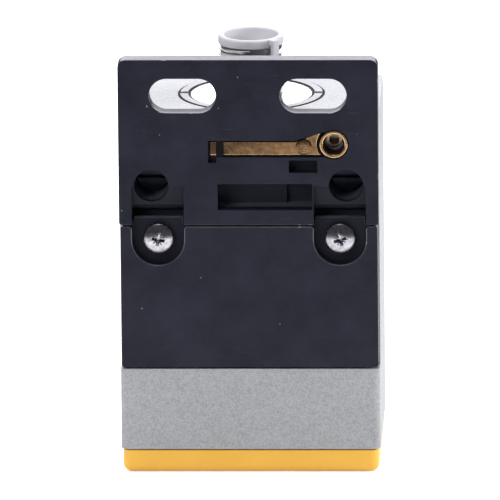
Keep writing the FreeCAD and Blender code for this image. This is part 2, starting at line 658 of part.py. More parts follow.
def make_rear_cover():
    body = new_body("rear_cover")
    face = sketch_on(body, "XZ_Plane", "CoverFace", REAR)
    top = "parting - seam_gap"
    rectangle(face, "cover_inset - width / 2", "band_top + seam_gap", "width / 2 - cover_inset", top)
    pad(body, face, "plate", inwards=True)
    recesses = sketch_on(body, "XZ_Plane", "ScrewRecesses", REAR)
    for across in both_sides("recess_spacing"):
        trough(recesses, across, "recess_height", "recess_radius", "parting + seam_gap")
    pocket(body, recesses, "recess_depth")
    upper = size("parting") - size("seam_gap")
    lower = size("band_top") + size("seam_gap")
    dress(body, "Fillet", "CoverCorners", "plate_radius",
          lambda middle, along: near(abs(along.y), 1) and (near(middle.z, upper) or near(middle.z, lower)))
    tabs = sketch_on(body, "XZ_Plane", "RecessTabs", "depth / 2 - recess_depth")
    holes = sketch_on(body, "XZ_Plane", "RetainingHoles", REAR)
    for across in both_sides("recess_spacing"):
        rectangle(tabs, f"{across} - recess_radius + fit_gap", "recess_height",
                  f"{across} + recess_radius - fit_gap", "parting + tab_rise")
        circle(holes, across, "screw_height", "screw_diameter / 2 + shank_gap")
    pad(body, tabs, "plate - recess_depth", inwards=True)
    pocket(body, holes, "plate")


def make_rear_gasket():
    body = new_body("rear_gasket")
    ring = sketch_on(body, "XZ_Plane", "GasketRing", PLATE_FACE)
    outer = "(width / 2 - wall + gasket_width)"
    rectangle(ring, f"-{outer}", "band_top + seam_gap", outer, "shoulder - wall + gasket_width")
    rectangle(ring, f"-{INSIDE}", "band_top + wall", INSIDE, "shoulder - wall")
    pad(body, ring, "rear_gasket_thickness", inwards=True)


def cross_screw(label):
    """A cross-head screw along its own Z axis, with its seat at zero and its head above."""
    body = new_body(label)
    profile = sketch_on(body, "XZ_Plane", label + "Profile")
    polygon(profile, [("0", "-screw_length"), ("screw_diameter / 2", "-screw_length"),
                      ("screw_diameter / 2", "0"), ("head_diameter / 2", "0"),
                      ("head_diameter / 2", "head_height"), ("0", "head_height")])
    revolve(body, profile)
    cross = sketch_on(body, "XY_Plane", label + "Cross", "head_height")
    arm = "drive_width / 2"
    corners = []
    for x, y in ((1, 1), (-1, 1), (-1, -1), (1, -1)):
        sign_x = "-" if x < 0 else ""
        sign_y = "-" if y < 0 else ""
        ends = [(f"{sign_x}drive_reach", f"{sign_y}{arm}"), (f"{sign_x}{arm}", f"{sign_y}{arm}"),
                (f"{sign_x}{arm}", f"{sign_y}drive_reach")]
        corners += ends if x * y > 0 else ends[::-1]
    polygon(cross, corners)
    pocket(body, cross, "drive_depth")
    return body


def slotted_screw(label, diameter, length, head, head_height, degrees):
    """A slotted cheese-head screw along its own Z axis, turned about X, with its seat at zero."""
    shank = rod(label + "Shank", f"({diameter}) / 2", length, "0", "0", f"-({length})")
    top = rod(label + "Head", f"({head}) / 2", head_height, "0", "0", "0")
    whole = doc.addObject("Part::MultiFuse", label + "Blank")
    whole.Shapes = [shank, top]
    whole.Refine = True
    slit = block(label + "Slit", f"-({head}) / 2", "-drive_width / 2", f"({head_height}) / 2", head,
                 "drive_width", head_height)
    return turn(cut(label, whole, [slit]), (1, 0, 0), degrees)


def make_screws():
    seat = "recess_depth - seat_gap - depth / 2"
    for side, across in zip(("left", "right"), both_sides("recess_spacing")):
        item = turn(cross_screw(f"retaining_screw_{side}"), (1, 0, 0), 90)
        place(item, across, seat, "screw_height")
    members = []
    for number, across in enumerate(both_sides("base_screw_spacing")):
        item = slotted_screw(f"BaseScrew{number}", "screw_diameter", "screw_length", "head_diameter",
                             "head_height", 90)
        members.append(place(item, across, "base_hole_depth - depth / 2", "base_screw_height"))
    group("base_screws", members)
    members = []
    for number, (across, up) in enumerate(cover_screw_places()):
        item = slotted_screw(f"CoverScrew{number}", "cover_screw_diameter",
                             "cover_thickness - cover_sink + front_gasket_thickness + seat_wall",
                             "cover_head", "cover_head_height", -90)
        members.append(place(item, across, "depth / 2 - cover_sink", up))
    group("cover_screws", members)


def make_earth_pieces():
    body = new_body("earth_strip")
    face = sketch_on(body, "XZ_Plane", "StripFace", "depth / 2 - strip_sink")
    polygon(face, [("strip_left", "strip_bottom"), ("fan_right", "strip_bottom"), ("fan_right", "fan_top"),
                   ("fan_right - bush_room - groove_margin", "fan_top"), ("fan_left", "strip_top"),
                   ("strip_left", "strip_top")])
    pad(body, face, "strip_thickness", inwards=True)
    clear = sketch_on(body, "XZ_Plane", "BushClearance", "depth / 2 - strip_sink")
    circle(clear, "bush_across", "bush_height", "bush_diameter / 2 + bush_room")
    pocket(body, clear, "strip_thickness")
    hole = sketch_on(body, "XZ_Plane", "StripHole", "depth / 2 - strip_sink")
    circle(hole, "rivet_across", "rivet_height", "rivet_diameter / 2 + thread_gap")
    pocket(body, hole, "strip_thickness")

    rivet = new_body("earth_rivet")
    profile = sketch_on(rivet, "XZ_Plane", "RivetProfile")
    polygon(profile, [("0", "-rivet_length"), ("rivet_diameter / 2", "-rivet_length"),
                      ("rivet_diameter / 2", "0"), ("rivet_head / 2", "0"),
                      ("rivet_head / 2", "rivet_head_height"), ("0", "rivet_head_height")])
    revolve(rivet, profile)
    place(turn(rivet, (1, 0, 0), 90), "rivet_across", "strip_sink - depth / 2", "rivet_height")

    bush = cut("earth_bush",
               rod("BushOutside", "bush_diameter / 2", "bush_length", "bush_across", "bush_sink - depth / 2",
                   "bush_height", along_y=True),
               [rod("BushInside", "bush_bore / 2", "bush_length", "bush_across", "bush_sink - depth / 2",
                    "bush_height", along_y=True)])
    named(bush, "earth_bush")
    stud = new_body("earth_stud")
    profile = sketch_on(stud, "XZ_Plane", "StudProfile")
    low = "-(plate + rear_gasket_thickness - stud_sink + stud_grip)"
    polygon(profile, [("0", low), ("stud_diameter / 2", low), ("stud_diameter / 2", "0"),
                      ("stud_bore / 2", "0"), ("stud_bore / 2", "-stud_bore_depth"),
                      ("0", "-stud_bore_depth")])
    revolve(stud, profile)
    place(turn(stud, (1, 0, 0), 90), "bush_across", "stud_sink - depth / 2", "bush_height")


def make_entry():
    bush = new_body("entry_bush")
    profile = sketch_on(bush, "XZ_Plane", "EntryProfile")
    low = "shoulder - spigot_length"
    polygon(profile, [("entry_bore / 2", low), ("spigot_diameter / 2", low),
                      ("spigot_diameter / 2", "flange_bottom"), ("flange_diameter / 2", "flange_bottom"),
                      ("flange_diameter / 2", "flange_top"), ("thread_diameter / 2", "flange_top"),
                      ("thread_diameter / 2", "thread_top"), ("entry_bore / 2", "thread_top")])
    revolve(bush, profile)
    place(bush, y="entry_offset")

    for label, degrees, shift in (("entry_collar_rear", 180, "-"), ("entry_collar_front", 0, "+")):
        collar = new_body(label)
        profile = sketch_on(collar, "XZ_Plane", label + "Profile")
        rectangle(profile, "flange_diameter / 2 + collar_gap", "shoulder - collar_sink",
                  "collar_diameter / 2", "shoulder + collar_stand")
        revolve(collar, profile, 180)
        turn(collar, (0, 0, 1), degrees)
        place(collar, y=f"entry_offset {shift} split_gap / 2")

    nut = doc.addObject("Part::Prism", "LocknutHexagon")
    nut.Polygon = 6
    turn(nut, (0, 0, 1), 0)
    bind(nut, Circumradius="locknut_across / 2 / cos(30)", Height="locknut_height")
    place(nut, "0", "entry_offset", "locknut_bottom")
    hole = rod("LocknutHole", "spigot_diameter / 2 + thread_gap", "locknut_height", "0", "entry_offset",
               "locknut_bottom")
    named(cut("entry_locknut", nut, [hole]), "entry_locknut")

    plug = new_body("transit_plug")
    profile = sketch_on(plug, "XZ_Plane", "PlugProfile")
    outside = "(entry_bore / 2 - plug_gap)"
    inside = f"({outside} - plug_wall)"
    rim = "(thread_top + seat_gap)"
    top = f"({rim} + plug_flange)"
    bottom = "(thread_top - plug_reach)"
    polygon(profile, [("0", bottom), (outside, bottom), (outside, rim), ("plug_flange_diameter / 2", rim),
                      ("plug_flange_diameter / 2", top), (inside, top), (inside, f"{bottom} + plug_wall"),
                      ("0", f"{bottom} + plug_wall")])
    revolve(plug, profile)
    near_side = "(thread_diameter / 2 + tab_gap)"
    arm = sketch_on(plug, "XY_Plane", "TabArm", rim)
    rectangle(arm, "plug_flange_diameter / 2 - plug_wall", "-tab_width / 2", f"{near_side} + tab_thickness",
              "tab_width / 2")
    pad(plug, arm, "plug_flange")
    tab = sketch_on(plug, "XY_Plane", "TabPlan", rim)
    rectangle(tab, near_side, "-tab_width / 2", f"{near_side} + tab_thickness", "tab_width / 2")
    pad(plug, tab, "tab_drop", inwards=True)
    turn(plug, (0, 0, 1), size("tab_angle"))
    place(plug, y="entry_offset")
    plug.setExpression("Placement.Rotation.Angle", bound("tab_angle"))


def make_sensing_end():
    cap = new_body("sensing_cap")
    outline = sketch_on(cap, "XY_Plane", "CapPlan")
    half_x = "(width / 2 - cap_inset)"
    half_y = "(depth / 2 - cap_inset)"
    rectangle(outline, f"-{half_x}", f"-{half_y}", half_x, half_y)
    pad(cap, outline, "cap_height - cap_seal_thickness")
    side = size("width") / 2 - size("cap_inset")
    dress(cap, "Fillet", "CapEdges", "cap_radius",
          lambda middle, along: near(middle.z, 0) or (near(abs(along.z), 1) and near(abs(middle.x), side)))
    skirt_x = f"({INSIDE} - fit_gap)"
    skirt_y = "(depth / 2 - wall - fit_gap)"
    skirt = sketch_on(cap, "XY_Plane", "SkirtPlan", "cap_height - cap_seal_thickness")
    rectangle(skirt, f"-{skirt_x}", f"-{skirt_y}", skirt_x, skirt_y)
    pad(cap, skirt, "skirt_height")
    hollow = sketch_on(cap, "XY_Plane", "CapHollow", "cap_floor")
    rectangle(hollow, f"cap_wall - {skirt_x}", f"cap_wall - {skirt_y}", f"{skirt_x} - cap_wall",
              f"{skirt_y} - cap_wall")
    pocket(cap, hollow, "cap_height + skirt_height", turned=True)
    rib = sketch_on(cap, "XY_Plane", "CoreRib", "cap_floor")
    close = "(core_length / 2 + fit_gap)"
    rectangle(rib, close, "-rib_length / 2", f"{close} + rib_width", "rib_length / 2")
    rectangle(rib, f"-{close} - rib_width", "-rib_length / 2", f"-{close}", "rib_length / 2")
    pad(cap, rib, "rib_height")

    seal = cut("cap_seal",
               block("SealBox", "-width / 2 + wall - gasket_width", "-depth / 2 + wall - gasket_width",
                     "cap_height - cap_seal_thickness", "width - 2 * wall + 2 * gasket_width",
                     "depth - 2 * wall + 2 * gasket_width", "cap_seal_thickness"),
               [block("SealHole", f"-{INSIDE}", "wall - depth / 2", "cap_height - cap_seal_thickness",
                      "width - 2 * wall", "depth - 2 * wall", "cap_seal_thickness")])
    named(seal, "cap_seal")

    core = new_body("ferrite_core")
    profile = sketch_on(core, "XZ_Plane", "CoreProfile", "core_depth / 2")
    groove = "(core_length / 2 - core_limb)"
    right = [("core_post / 2", "cap_floor"), ("core_post / 2", "core_roof"), (groove, "core_roof"),
             (groove, "cap_floor"), ("core_length / 2", "cap_floor"), ("core_length / 2", "core_top")]
    polygon(profile, right + [(f"-{across}", up) for across, up in reversed(right)])
    pad(core, profile, "core_depth", inwards=True)

    bobbin = new_body("coil_bobbin")
    top = "(core_roof - fit_gap)"
    for name, outside, bottom, height in (
        ("LowerFlange", "bobbin_wall + winding_build + bobbin_lip", "cap_floor", "bobbin_wall"),
        ("Drum", "bobbin_wall", "cap_floor", f"{top} - cap_floor"),
        ("UpperFlange", "bobbin_wall + winding_build + bobbin_lip", f"{top} - bobbin_wall", "bobbin_wall"),
    ):
        plan = sketch_on(bobbin, "XY_Plane", "Bobbin" + name, bottom)
        round_post(plan, outside)
        round_post(plan, "0")
        pad(bobbin, plan, height)
    winding = new_body("coil_winding")
    plan = sketch_on(winding, "XY_Plane", "WindingPlan", "cap_floor + bobbin_wall + seat_gap")
    round_post(plan, "bobbin_wall + winding_build")
    round_post(plan, "bobbin_wall + seat_gap")
    pad(winding, plan, f"{top} - cap_floor - 2 * bobbin_wall - 2 * seat_gap")
    outer = size("core_post / 2 + fit_gap + bobbin_wall + winding_build")
    dress(winding, "Fillet", "WindingCorners", "winding_radius",
          lambda middle, along: near(abs(along.z), 1) and near(abs(middle.x), outer))


def round_post(sketch, distance):
    """A rectangle round the core's middle limb, with its clearance and a further distance."""
    half_x = f"(core_post / 2 + fit_gap + {distance})"
    half_y = f"(core_depth / 2 + fit_gap + {distance})"
    rectangle(sketch, f"-{half_x}", f"-{half_y}", half_x, half_y)


def make_electronics():
    board = block("circuit_board", "-board_width / 2", "board_rear", "board_bottom", "board_width",
                  "board_thickness", "board_top - board_bottom")
    named(board, "circuit_board")
    guides = []
    lamps = []
    tools = [board]
    start = "(board_face + lamp_thickness + fit_gap)"
    for number, across in enumerate(both_sides("lamp_spacing")):
        guides.append(block(f"LightGuide{number}", f"{across} - guide_width / 2", start,
                            "lamp_height - guide_height / 2", "guide_width", f"depth / 2 - {start}",
                            "guide_height"))
        lamps.append(block(f"StatusLamp{number}", f"{across} - lamp_width / 2", "board_face",
                           "lamp_height - lamp_rise / 2", "lamp_width", "lamp_thickness", "lamp_rise"))
        tools.append(block(f"GuideWay{number}", f"{across} - guide_width / 2 - thread_gap", "board_face",
                           "lamp_height - guide_height / 2 - thread_gap", "guide_width + 2 * thread_gap",
                           "depth / 2 - board_face", "guide_height + 2 * thread_gap"))
    group("light_guides", guides)
    group("status_lamps", lamps)
    resin = block("ResinBody", f"seat_gap - {INSIDE}", "wall - depth / 2 + plate", "resin_bottom",
                  f"2 * ({INSIDE} - seat_gap)", "depth - 2 * wall - plate - seat_gap",
                  "resin_top - resin_bottom")
    named(cut("resin_filling", resin, tools), "resin_filling")


def make_terminals():
    body = new_body("terminal_block")
    bottom = "(resin_top + seat_gap)"
    plan = sketch_on(body, "XY_Plane", "BlockPlan", bottom)
    rectangle(plan, "-block_width / 2", "block_rear", "block_width / 2", "block_front")
    pad(body, plan, "block_height")
    cells = sketch_on(body, "XY_Plane", "BlockCells", f"{bottom} + block_height")
    bores = sketch_on(body, "XZ_Plane", "ScrewBores", "-block_front")
    slits = sketch_on(body, "XZ_Plane", "PinSlits", "-block_rear")
    floor = f"({bottom} + block_height - cell_drop)"
    cell_rear = "(block_rear + (block_depth - cell_depth) / 2)"
    middle = f"({floor} + clamp_height / 2)"
    reach = "((block_depth - cell_depth) / 2 + cell_depth / 4)"
    pins = []
    clamps = []
    screws = []
    for number in range(POLES):
        across = f"({number - (POLES - 1) / 2} * pole_pitch)"
        rectangle(cells, f"{across} - cell_width / 2", cell_rear, f"{across} + cell_width / 2",
                  f"{cell_rear} + cell_depth")
        half = "(pole_screw_diameter / 2 + fit_gap)"
        rectangle(bores, f"{across} - {half}", f"{middle} - {half}", f"{across} + {half}",
                  f"{middle} + {half}")
        rectangle(slits, f"{across} - pin_width / 2 - fit_gap", f"{middle} - pin_thickness / 2 - fit_gap",
                  f"{across} + pin_width / 2 + fit_gap", f"{middle} + pin_thickness / 2 + fit_gap")
        pins.append(block(f"ContactPin{number}", f"{across} - pin_width / 2", "board_face",
                          f"{middle} - pin_thickness / 2", "pin_width",
                          f"{cell_rear} + fit_gap - board_face", "pin_thickness"))
        clamps.append(make_clamp(number, across, cell_rear, floor, middle))
        thread = rod(f"PoleThread{number}", "pole_screw_diameter / 2", reach, across,
                     f"block_front - {reach}", middle, along_y=True)
        slit = block(f"PoleSlit{number}", f"{across} - pole_screw_diameter / 2",
                     "block_front - drive_depth / 2", f"{middle} - drive_width / 4", "pole_screw_diameter",
                     "drive_depth / 2", "drive_width / 2")
        screws.append(cut(f"PoleScrew{number}", thread, [slit]))
    pocket(body, cells, "cell_drop")
    pocket(body, bores, "(block_depth - cell_depth) / 2", turned=True)
    pocket(body, slits, "(block_depth - cell_depth) / 2")
    group("contact_pins", pins)
    group("terminal_clamps", clamps)
    group("terminal_screws", screws)


def make_clamp(number, across, cell_rear, floor, middle):
    """A box clamp with an upright way for the wire and a notch for the terminal screw."""
    outside = block(f"ClampBody{number}", f"{across} - cell_width / 2 + fit_gap", f"{cell_rear} + fit_gap",
                    floor, "cell_width - 2 * fit_gap", "cell_depth - 2 * fit_gap", "clamp_height")
    wire_way = block(f"ClampWay{number}", f"{across} - clamp_hole / 2",
                     f"{cell_rear} + cell_depth / 2 - clamp_hole / 2", floor, "clamp_hole", "clamp_hole",
                     "clamp_height")
    half = "(pole_screw_diameter / 2 + thread_gap)"
    notch = block(f"ClampNotch{number}", f"{across} - {half}", f"{cell_rear} + cell_depth / 2",
                  f"{middle} - {half}", f"2 * {half}", "cell_depth / 2", f"clamp_height / 2 + {half}")
    return cut(f"Clamp{number}", outside, [wire_way, notch])


def make_front_cover():
    body = new_body("front_cover")
    face = sketch_on(body, "XZ_Plane", "FrontFace", FRONT)
    rectangle(face, f"fit_gap - {INSIDE}", "cover_bottom + fit_gap", f"{INSIDE} - fit_gap",
              "cover_top - fit_gap")
    pad(body, face, "cover_thickness")
    front = size("depth") / 2
    dress(body, "Chamfer", "FrontEdges", "fit_gap * 4", lambda middle, along: near(middle.y, front))
    lip = sketch_on(body, "XZ_Plane", "CoverLip", "cover_thickness - depth / 2")
    polygon(lip, terminal_opening("(seat_frame + fit_gap)"))
    polygon(lip, terminal_opening("(seat_frame + fit_gap + lip_wall)"))
    pad(body, lip, "front_gasket_thickness + lip_height")
    wells = sketch_on(body, "XZ_Plane", "HeadWells", FRONT)
    holes = sketch_on(body, "XZ_Plane", "CoverHoles", FRONT)
    for across, up in cover_screw_places():
        half = "(cover_head / 2 + fit_gap)"
        rectangle(wells, f"{across} - {half}", f"{up} - {half}", f"{across} + {half}", f"{up} + {half}")
        circle(holes, across, up, "cover_screw_diameter / 2 + fit_gap")
    pocket(body, wells, "cover_sink", turned=True)
    pocket(body, holes, "cover_thickness", turned=True)

    gasket = new_body("front_gasket")
    ring = sketch_on(gasket, "XZ_Plane", "FrontRing", "cover_thickness - depth / 2")
    polygon(ring, terminal_opening("(seat_frame - fit_gap - gasket_width)"))
    polygon(ring, terminal_opening("(seat_frame - fit_gap)"))
    pad(gasket, ring, "front_gasket_thickness")


def write_parts():
    doc.recompute()
    for item in doc.Objects:
        if "Invalid" in item.State or "Error" in item.State:
            raise RuntimeError(f"{item.Label} failed: {item.State}")
    for item in parts:
        if item.Shape.isNull() or not item.Shape.isValid():
            raise RuntimeError(f"{item.Label} has no valid shape")
    os.makedirs("parts", exist_ok=True)
    for item in parts:
        item.Shape.exportStep(f"parts/{item.Label}.step")
        print(f"{item.Label}: {len(item.Shape.Solids)} solid(s), {item.Shape.Volume / 1000:.2f} cm3")


make_housing()
make_mounting_base()
make_rear_cover()
make_rear_gasket()
make_screws()
make_earth_pieces()
make_entry()
make_sensing_end()
make_electronics()
make_terminals()
make_front_cover()
write_parts()
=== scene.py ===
# %% [markdown]
# # A block-type inductive proximity sensor, dressed in Blender
# The solids come from the part's own frame, so every size and place is already right. This lesson gives the
# pieces that show their rounded edges, their threads and drive crosses, and the finish that each one has on
# the bench: scuffed black mouldings, speckled grey enamel, a satin yellow sensing cap, tarnished brass and
# bright plating.

# %% Load the frame
import math

import bpy
from mathutils import Matrix, Vector


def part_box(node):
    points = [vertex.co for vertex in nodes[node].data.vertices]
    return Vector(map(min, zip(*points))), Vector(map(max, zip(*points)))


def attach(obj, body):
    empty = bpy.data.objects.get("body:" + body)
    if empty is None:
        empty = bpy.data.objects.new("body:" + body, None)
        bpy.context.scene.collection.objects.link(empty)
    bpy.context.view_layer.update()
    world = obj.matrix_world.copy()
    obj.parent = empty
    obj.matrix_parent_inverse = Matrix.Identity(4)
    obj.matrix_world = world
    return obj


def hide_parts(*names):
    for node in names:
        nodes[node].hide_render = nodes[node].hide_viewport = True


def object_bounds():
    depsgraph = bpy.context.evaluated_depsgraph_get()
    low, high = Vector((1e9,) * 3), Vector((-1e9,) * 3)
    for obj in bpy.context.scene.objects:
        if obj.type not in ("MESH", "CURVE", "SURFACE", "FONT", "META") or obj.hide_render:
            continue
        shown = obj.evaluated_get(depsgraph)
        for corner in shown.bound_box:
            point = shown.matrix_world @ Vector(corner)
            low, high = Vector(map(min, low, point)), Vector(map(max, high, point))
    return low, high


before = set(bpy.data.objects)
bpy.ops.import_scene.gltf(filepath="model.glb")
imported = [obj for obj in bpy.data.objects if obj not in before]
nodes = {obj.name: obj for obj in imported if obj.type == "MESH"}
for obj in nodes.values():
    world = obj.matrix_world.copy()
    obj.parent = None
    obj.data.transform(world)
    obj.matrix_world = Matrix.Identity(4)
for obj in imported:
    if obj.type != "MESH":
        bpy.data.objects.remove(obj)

MM = 0.001
cad_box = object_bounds()
print("box of the solids in mm:", [[round(value / MM, 2) for value in corner] for corner in cad_box])

# %% [markdown]
# ## Camera, floor and light
# The photograph was taken from a little above the middle of the back with a long lens, so the upright edges
# stay parallel. An orthographic camera would show the same edges, but a very long lens six metres away
# keeps the trace of narrowing that any photograph has. The camera is turned by half a degree, because the
# sensor leans by that much in the picture.

# %% Camera
camera_data = bpy.data.cameras.new("bench_camera")
camera_data.lens = 1404
camera_data.sensor_width = 36
camera = bpy.data.objects.new("bench_camera", camera_data)
bpy.context.scene.collection.objects.link(camera)
bpy.context.scene.camera = camera

CAMERA_AWAY = 6.0
aim = Vector((0.28, -27.5, 71.14)) * MM
azimuth, elevation, lean = math.radians(2.2), math.radians(14.3), math.radians(-0.56)
level = math.cos(elevation)
reach = Vector((math.sin(azimuth) * level, -math.cos(azimuth) * level, math.sin(elevation)))
camera.location = aim + CAMERA_AWAY * reach
look = (aim - camera.location).to_track_quat("-Z", "Y").to_matrix()
camera.rotation_euler = (look @ Matrix.Rotation(lean, 3, "Z")).to_euler()
print("camera at", [round(value, 3) for value in camera.location])

# %% [markdown]
# The floor is one white sheet. What the camera sees of it is lifted to white by a little emission, which
# lights nothing else, so the sensor's soft shadow stays on it. Brighter lamps would whiten it too, but they
# would bleach the sensor. In the picture the screws mirror the ground only in their lower halves: the white
# ended about half a metre away, and the room beyond was dark. So reflections see the sheet white up to
# there and dark beyond. A few helpers come first: they add a shader node with its inputs, do sums, move a
# value from one range to another, blend two colours and start a material.

# %% Helpers for materials
def add(tree, kind, inputs=None, **settings):
    item = tree.nodes.new(kind)
    for name, value in settings.items():
        setattr(item, name, value)
    for name, value in (inputs or {}).items():
        if isinstance(value, bpy.types.NodeSocket):
            tree.links.new(value, item.inputs[name])
        else:
            item.inputs[name].default_value = value
    return item


def math_node(tree, operation, first, second=0.0):
    return add(tree, "ShaderNodeMath", {0: first, 1: second}, operation=operation).outputs[0]


def map_range(tree, value, from_low, from_high, to_low=0.0, to_high=1.0):
    """A value moved from one range to another, and kept within it."""
    inputs = {"Value": value, "From Min": from_low, "From Max": from_high, "To Min": to_low, "To Max": to_high}
    return add(tree, "ShaderNodeMapRange", inputs).outputs["Result"]


def blend_colours(tree, factor, first, second):
    return add(tree, "ShaderNodeMix", {0: factor, 6: first, 7: second}, data_type="RGBA").outputs[2]


def new_material(name, **plain):
    material = bpy.data.materials.new(name)
    material.use_nodes = True
    shader = material.node_tree.nodes["Principled BSDF"]
    for label, value in plain.items():
        shader.inputs[label.replace("_", " ")].default_value = value
    return material, material.node_tree, shader


print("materials that came with the solids:", len(bpy.data.materials))


# %% Floor
def deselect():
    if bpy.context.mode != "OBJECT":
        bpy.ops.object.mode_set(mode="OBJECT")
    bpy.ops.object.select_all(action="DESELECT")


deselect()
bpy.ops.mesh.primitive_plane_add(size=8, location=(0, 1, 0))
floor = bpy.context.object
floor.name = "white_floor"

WHITE_UNTIL, DARK_FROM, SHEET_LIFT = 0.46, 0.56, 0.6
WHITE_SHEET, DARK_ROOM = (0.8, 0.8, 0.8, 1), (0.02, 0.02, 0.022, 1)
paper, tree, shader = new_material("white_paper", Roughness=0.9, Specular_IOR_Level=0.0,
                                   Emission_Color=(1, 1, 1, 1))
rays = add(tree, "ShaderNodeLightPath").outputs
spot = add(tree, "ShaderNodeNewGeometry").outputs["Position"]
distance = add(tree, "ShaderNodeVectorMath", {0: spot}, operation="LENGTH").outputs["Value"]
far = map_range(tree, distance, WHITE_UNTIL, DARK_FROM)
dark = math_node(tree, "MULTIPLY", rays["Is Glossy Ray"], far)
tree.links.new(blend_colours(tree, dark, WHITE_SHEET, DARK_ROOM), shader.inputs["Base Color"])
seen = math_node(tree, "MAXIMUM", rays["Is Camera Ray"], rays["Is Glossy Ray"])
seen = math_node(tree, "MAXIMUM", seen, rays["Is Transmission Ray"])
lift = math_node(tree, "MULTIPLY", math_node(tree, "SUBTRACT", seen, dark), SHEET_LIFT)
tree.links.new(lift, shader.inputs["Emission Strength"])
floor.data.materials.append(paper)
print("floor of", floor.dimensions.x, "m")

# %% [markdown]
# A broad soft lamp overhead and a weaker one beside the camera light the back, and a lamp on the right
# brightens the side that the picture shows as a pale strip. A fourth stands low behind the sensor: seen at a
# glancing angle, it turns every face that looks up, such as the slots' lower walls, nearly white. The world
# fills the shadows, but shiny metal sees little of it, so the screws' upper halves stay dark.

# %% Lamps and world
def soft_lamp(name, place, size, power, colour):
    data = bpy.data.lights.new(name, "AREA")
    data.size = size
    data.energy = power
    data.color = colour
    lamp = bpy.data.objects.new(name, data)
    bpy.context.scene.collection.objects.link(lamp)
    lamp.location = place
    lamp.rotation_euler = (aim - lamp.location).to_track_quat("-Z", "Y").to_euler()
    return lamp


soft_lamp("overhead_lamp", Vector((-0.15, 0.1, 1.5)), 1.2, 17, (1.0, 0.99, 0.98))
soft_lamp("front_lamp", Vector((-0.9, -1.5, 0.9)), 0.8, 15.5, (0.97, 0.98, 1.0)).visible_glossy = False
soft_lamp("right_lamp", Vector((1.4, 0.1, 0.5)), 0.6, 19, (1.0, 1.0, 1.0)).visible_glossy = False
soft_lamp("back_lamp", Vector((0, 1.3, 0.6)), 1.1, 17, (0.94, 0.92, 1.0))

SKY_FILL, SKY_IN_METAL = 0.35, 0.08
world = bpy.data.worlds.new("studio")
bpy.context.scene.world = world
world.use_nodes = True
sky = world.node_tree.nodes["Background"]
sky.inputs["Color"].default_value = (0.9, 0.93, 1.0, 1)
glossy = add(world.node_tree, "ShaderNodeLightPath").outputs["Is Glossy Ray"]
sky_strength = map_range(world.node_tree, glossy, 0.0, 1.0, SKY_FILL, SKY_IN_METAL)
world.node_tree.links.new(sky_strength, sky.inputs["Strength"])
bpy.context.scene.view_settings.view_transform = "Standard"
print("lamps:", [item.name for item in bpy.data.lights])

# %% [markdown]
# ## Shared effects
# Five effects come back on several finishes, so each is a node group with its own values in every material.
# Pictures of dust and scratches could be laid on instead, but these patterns need no unwrapping and stay
# sharp close up. Grain gives a fine height and a slow mottle, and specks are dust and chips. Scuffs are
# short slanting rubs, and flecks are the sparkle of metal powder in enamel. Recess tells how deep below the
# back a place lies, away from the outer sides and the top, and where the bridge over the earth strip is.
# They read object coordinates in metres, so a scale of 1000 is about a millimetre.

# %% Grain and specks
def new_group(name, inputs, outputs):
    group = bpy.data.node_groups.new(name, "ShaderNodeTree")
    for label, value in inputs.items():
        socket = group.interface.new_socket(name=label, in_out="INPUT", socket_type="NodeSocketFloat")
        socket.default_value = value
    for label in outputs:
        group.interface.new_socket(name=label, in_out="OUTPUT", socket_type="NodeSocketFloat")
    return group, group.nodes.new("NodeGroupInput").outputs, group.nodes.new("NodeGroupOutput").inputs


def object_place(tree):
    return add(tree, "ShaderNodeTexCoord").outputs["Object"]


def noise(tree, place, scale, detail, roughness=0.5):
    inputs = {"Vector": place, "Scale": scale, "Detail": detail, "Roughness": roughness}
    return add(tree, "ShaderNodeTexNoise", inputs).outputs["Fac"]


def part_of(tree, mask, share):
    return math_node(tree, "MULTIPLY", mask, share)


grain, given, result = new_group("grain", {"Scale": 2500, "Mottle Scale": 120}, ["Height", "Mottle"])
place = object_place(grain)
grain.links.new(noise(grain, place, given["Scale"], 4), result["Height"])
grain.links.new(noise(grain, place, given["Mottle Scale"], 5, 0.6), result["Mottle"])

specks, given, result = new_group("specks", {"Scale": 400, "Size": 0.18, "Share": 0.25}, ["Mask"])
place = object_place(specks)
cells = add(specks, "ShaderNodeTexVoronoi", {"Vector": place, "Scale": given["Scale"]})
ragged = part_of(specks, noise(specks, place, 3000, 2), 0.12)
edge = math_node(specks, "ADD", cells.outputs["Distance"], ragged)
dot = math_node(specks, "LESS_THAN", edge, given["Size"])
lot = add(specks, "ShaderNodeSeparateColor", {"Color": cells.outputs["Color"]})
drawn = math_node(specks, "LESS_THAN", lot.outputs["Red"], given["Share"])
specks.links.new(math_node(specks, "MULTIPLY", dot, drawn), result["Mask"])
print("groups:", grain.name, specks.name)

# %% Scuffs and flecks
scuffs, given, result = new_group("scuffs", {"Scale": 90, "Slant": 0.6, "Share": 0.6}, ["Mask"])
place = object_place(scuffs)
slant = add(scuffs, "ShaderNodeCombineXYZ", {"Y": given["Slant"]}).outputs["Vector"]
turned = add(scuffs, "ShaderNodeMapping", {"Vector": place, "Rotation": slant, "Scale": (1, 1, 9)})
streak = noise(scuffs, turned.outputs["Vector"], given["Scale"], 6, 0.7)
patch = noise(scuffs, place, 55, 2)
thin = map_range(scuffs, streak, 0.58, 0.78)
local = map_range(scuffs, patch, given["Share"], 0.75)
scuffs.links.new(math_node(scuffs, "MULTIPLY", thin, local), result["Mask"])

flecks, given, result = new_group("flecks", {"Scale": 2200}, ["Value"])
powder = add(flecks, "ShaderNodeTexVoronoi", {"Vector": object_place(flecks), "Scale": given["Scale"]})
lot = add(flecks, "ShaderNodeSeparateColor", {"Color": powder.outputs["Color"]})
flecks.links.new(lot.outputs["Green"], result["Value"])
print("groups:", scuffs.name, flecks.name)


# %% Recess
def near(tree, value, middle, half):
    """A mask that is one within half a width of the middle."""
    away = math_node(tree, "ABSOLUTE", math_node(tree, "SUBTRACT", value, middle))
    return math_node(tree, "LESS_THAN", away, half)


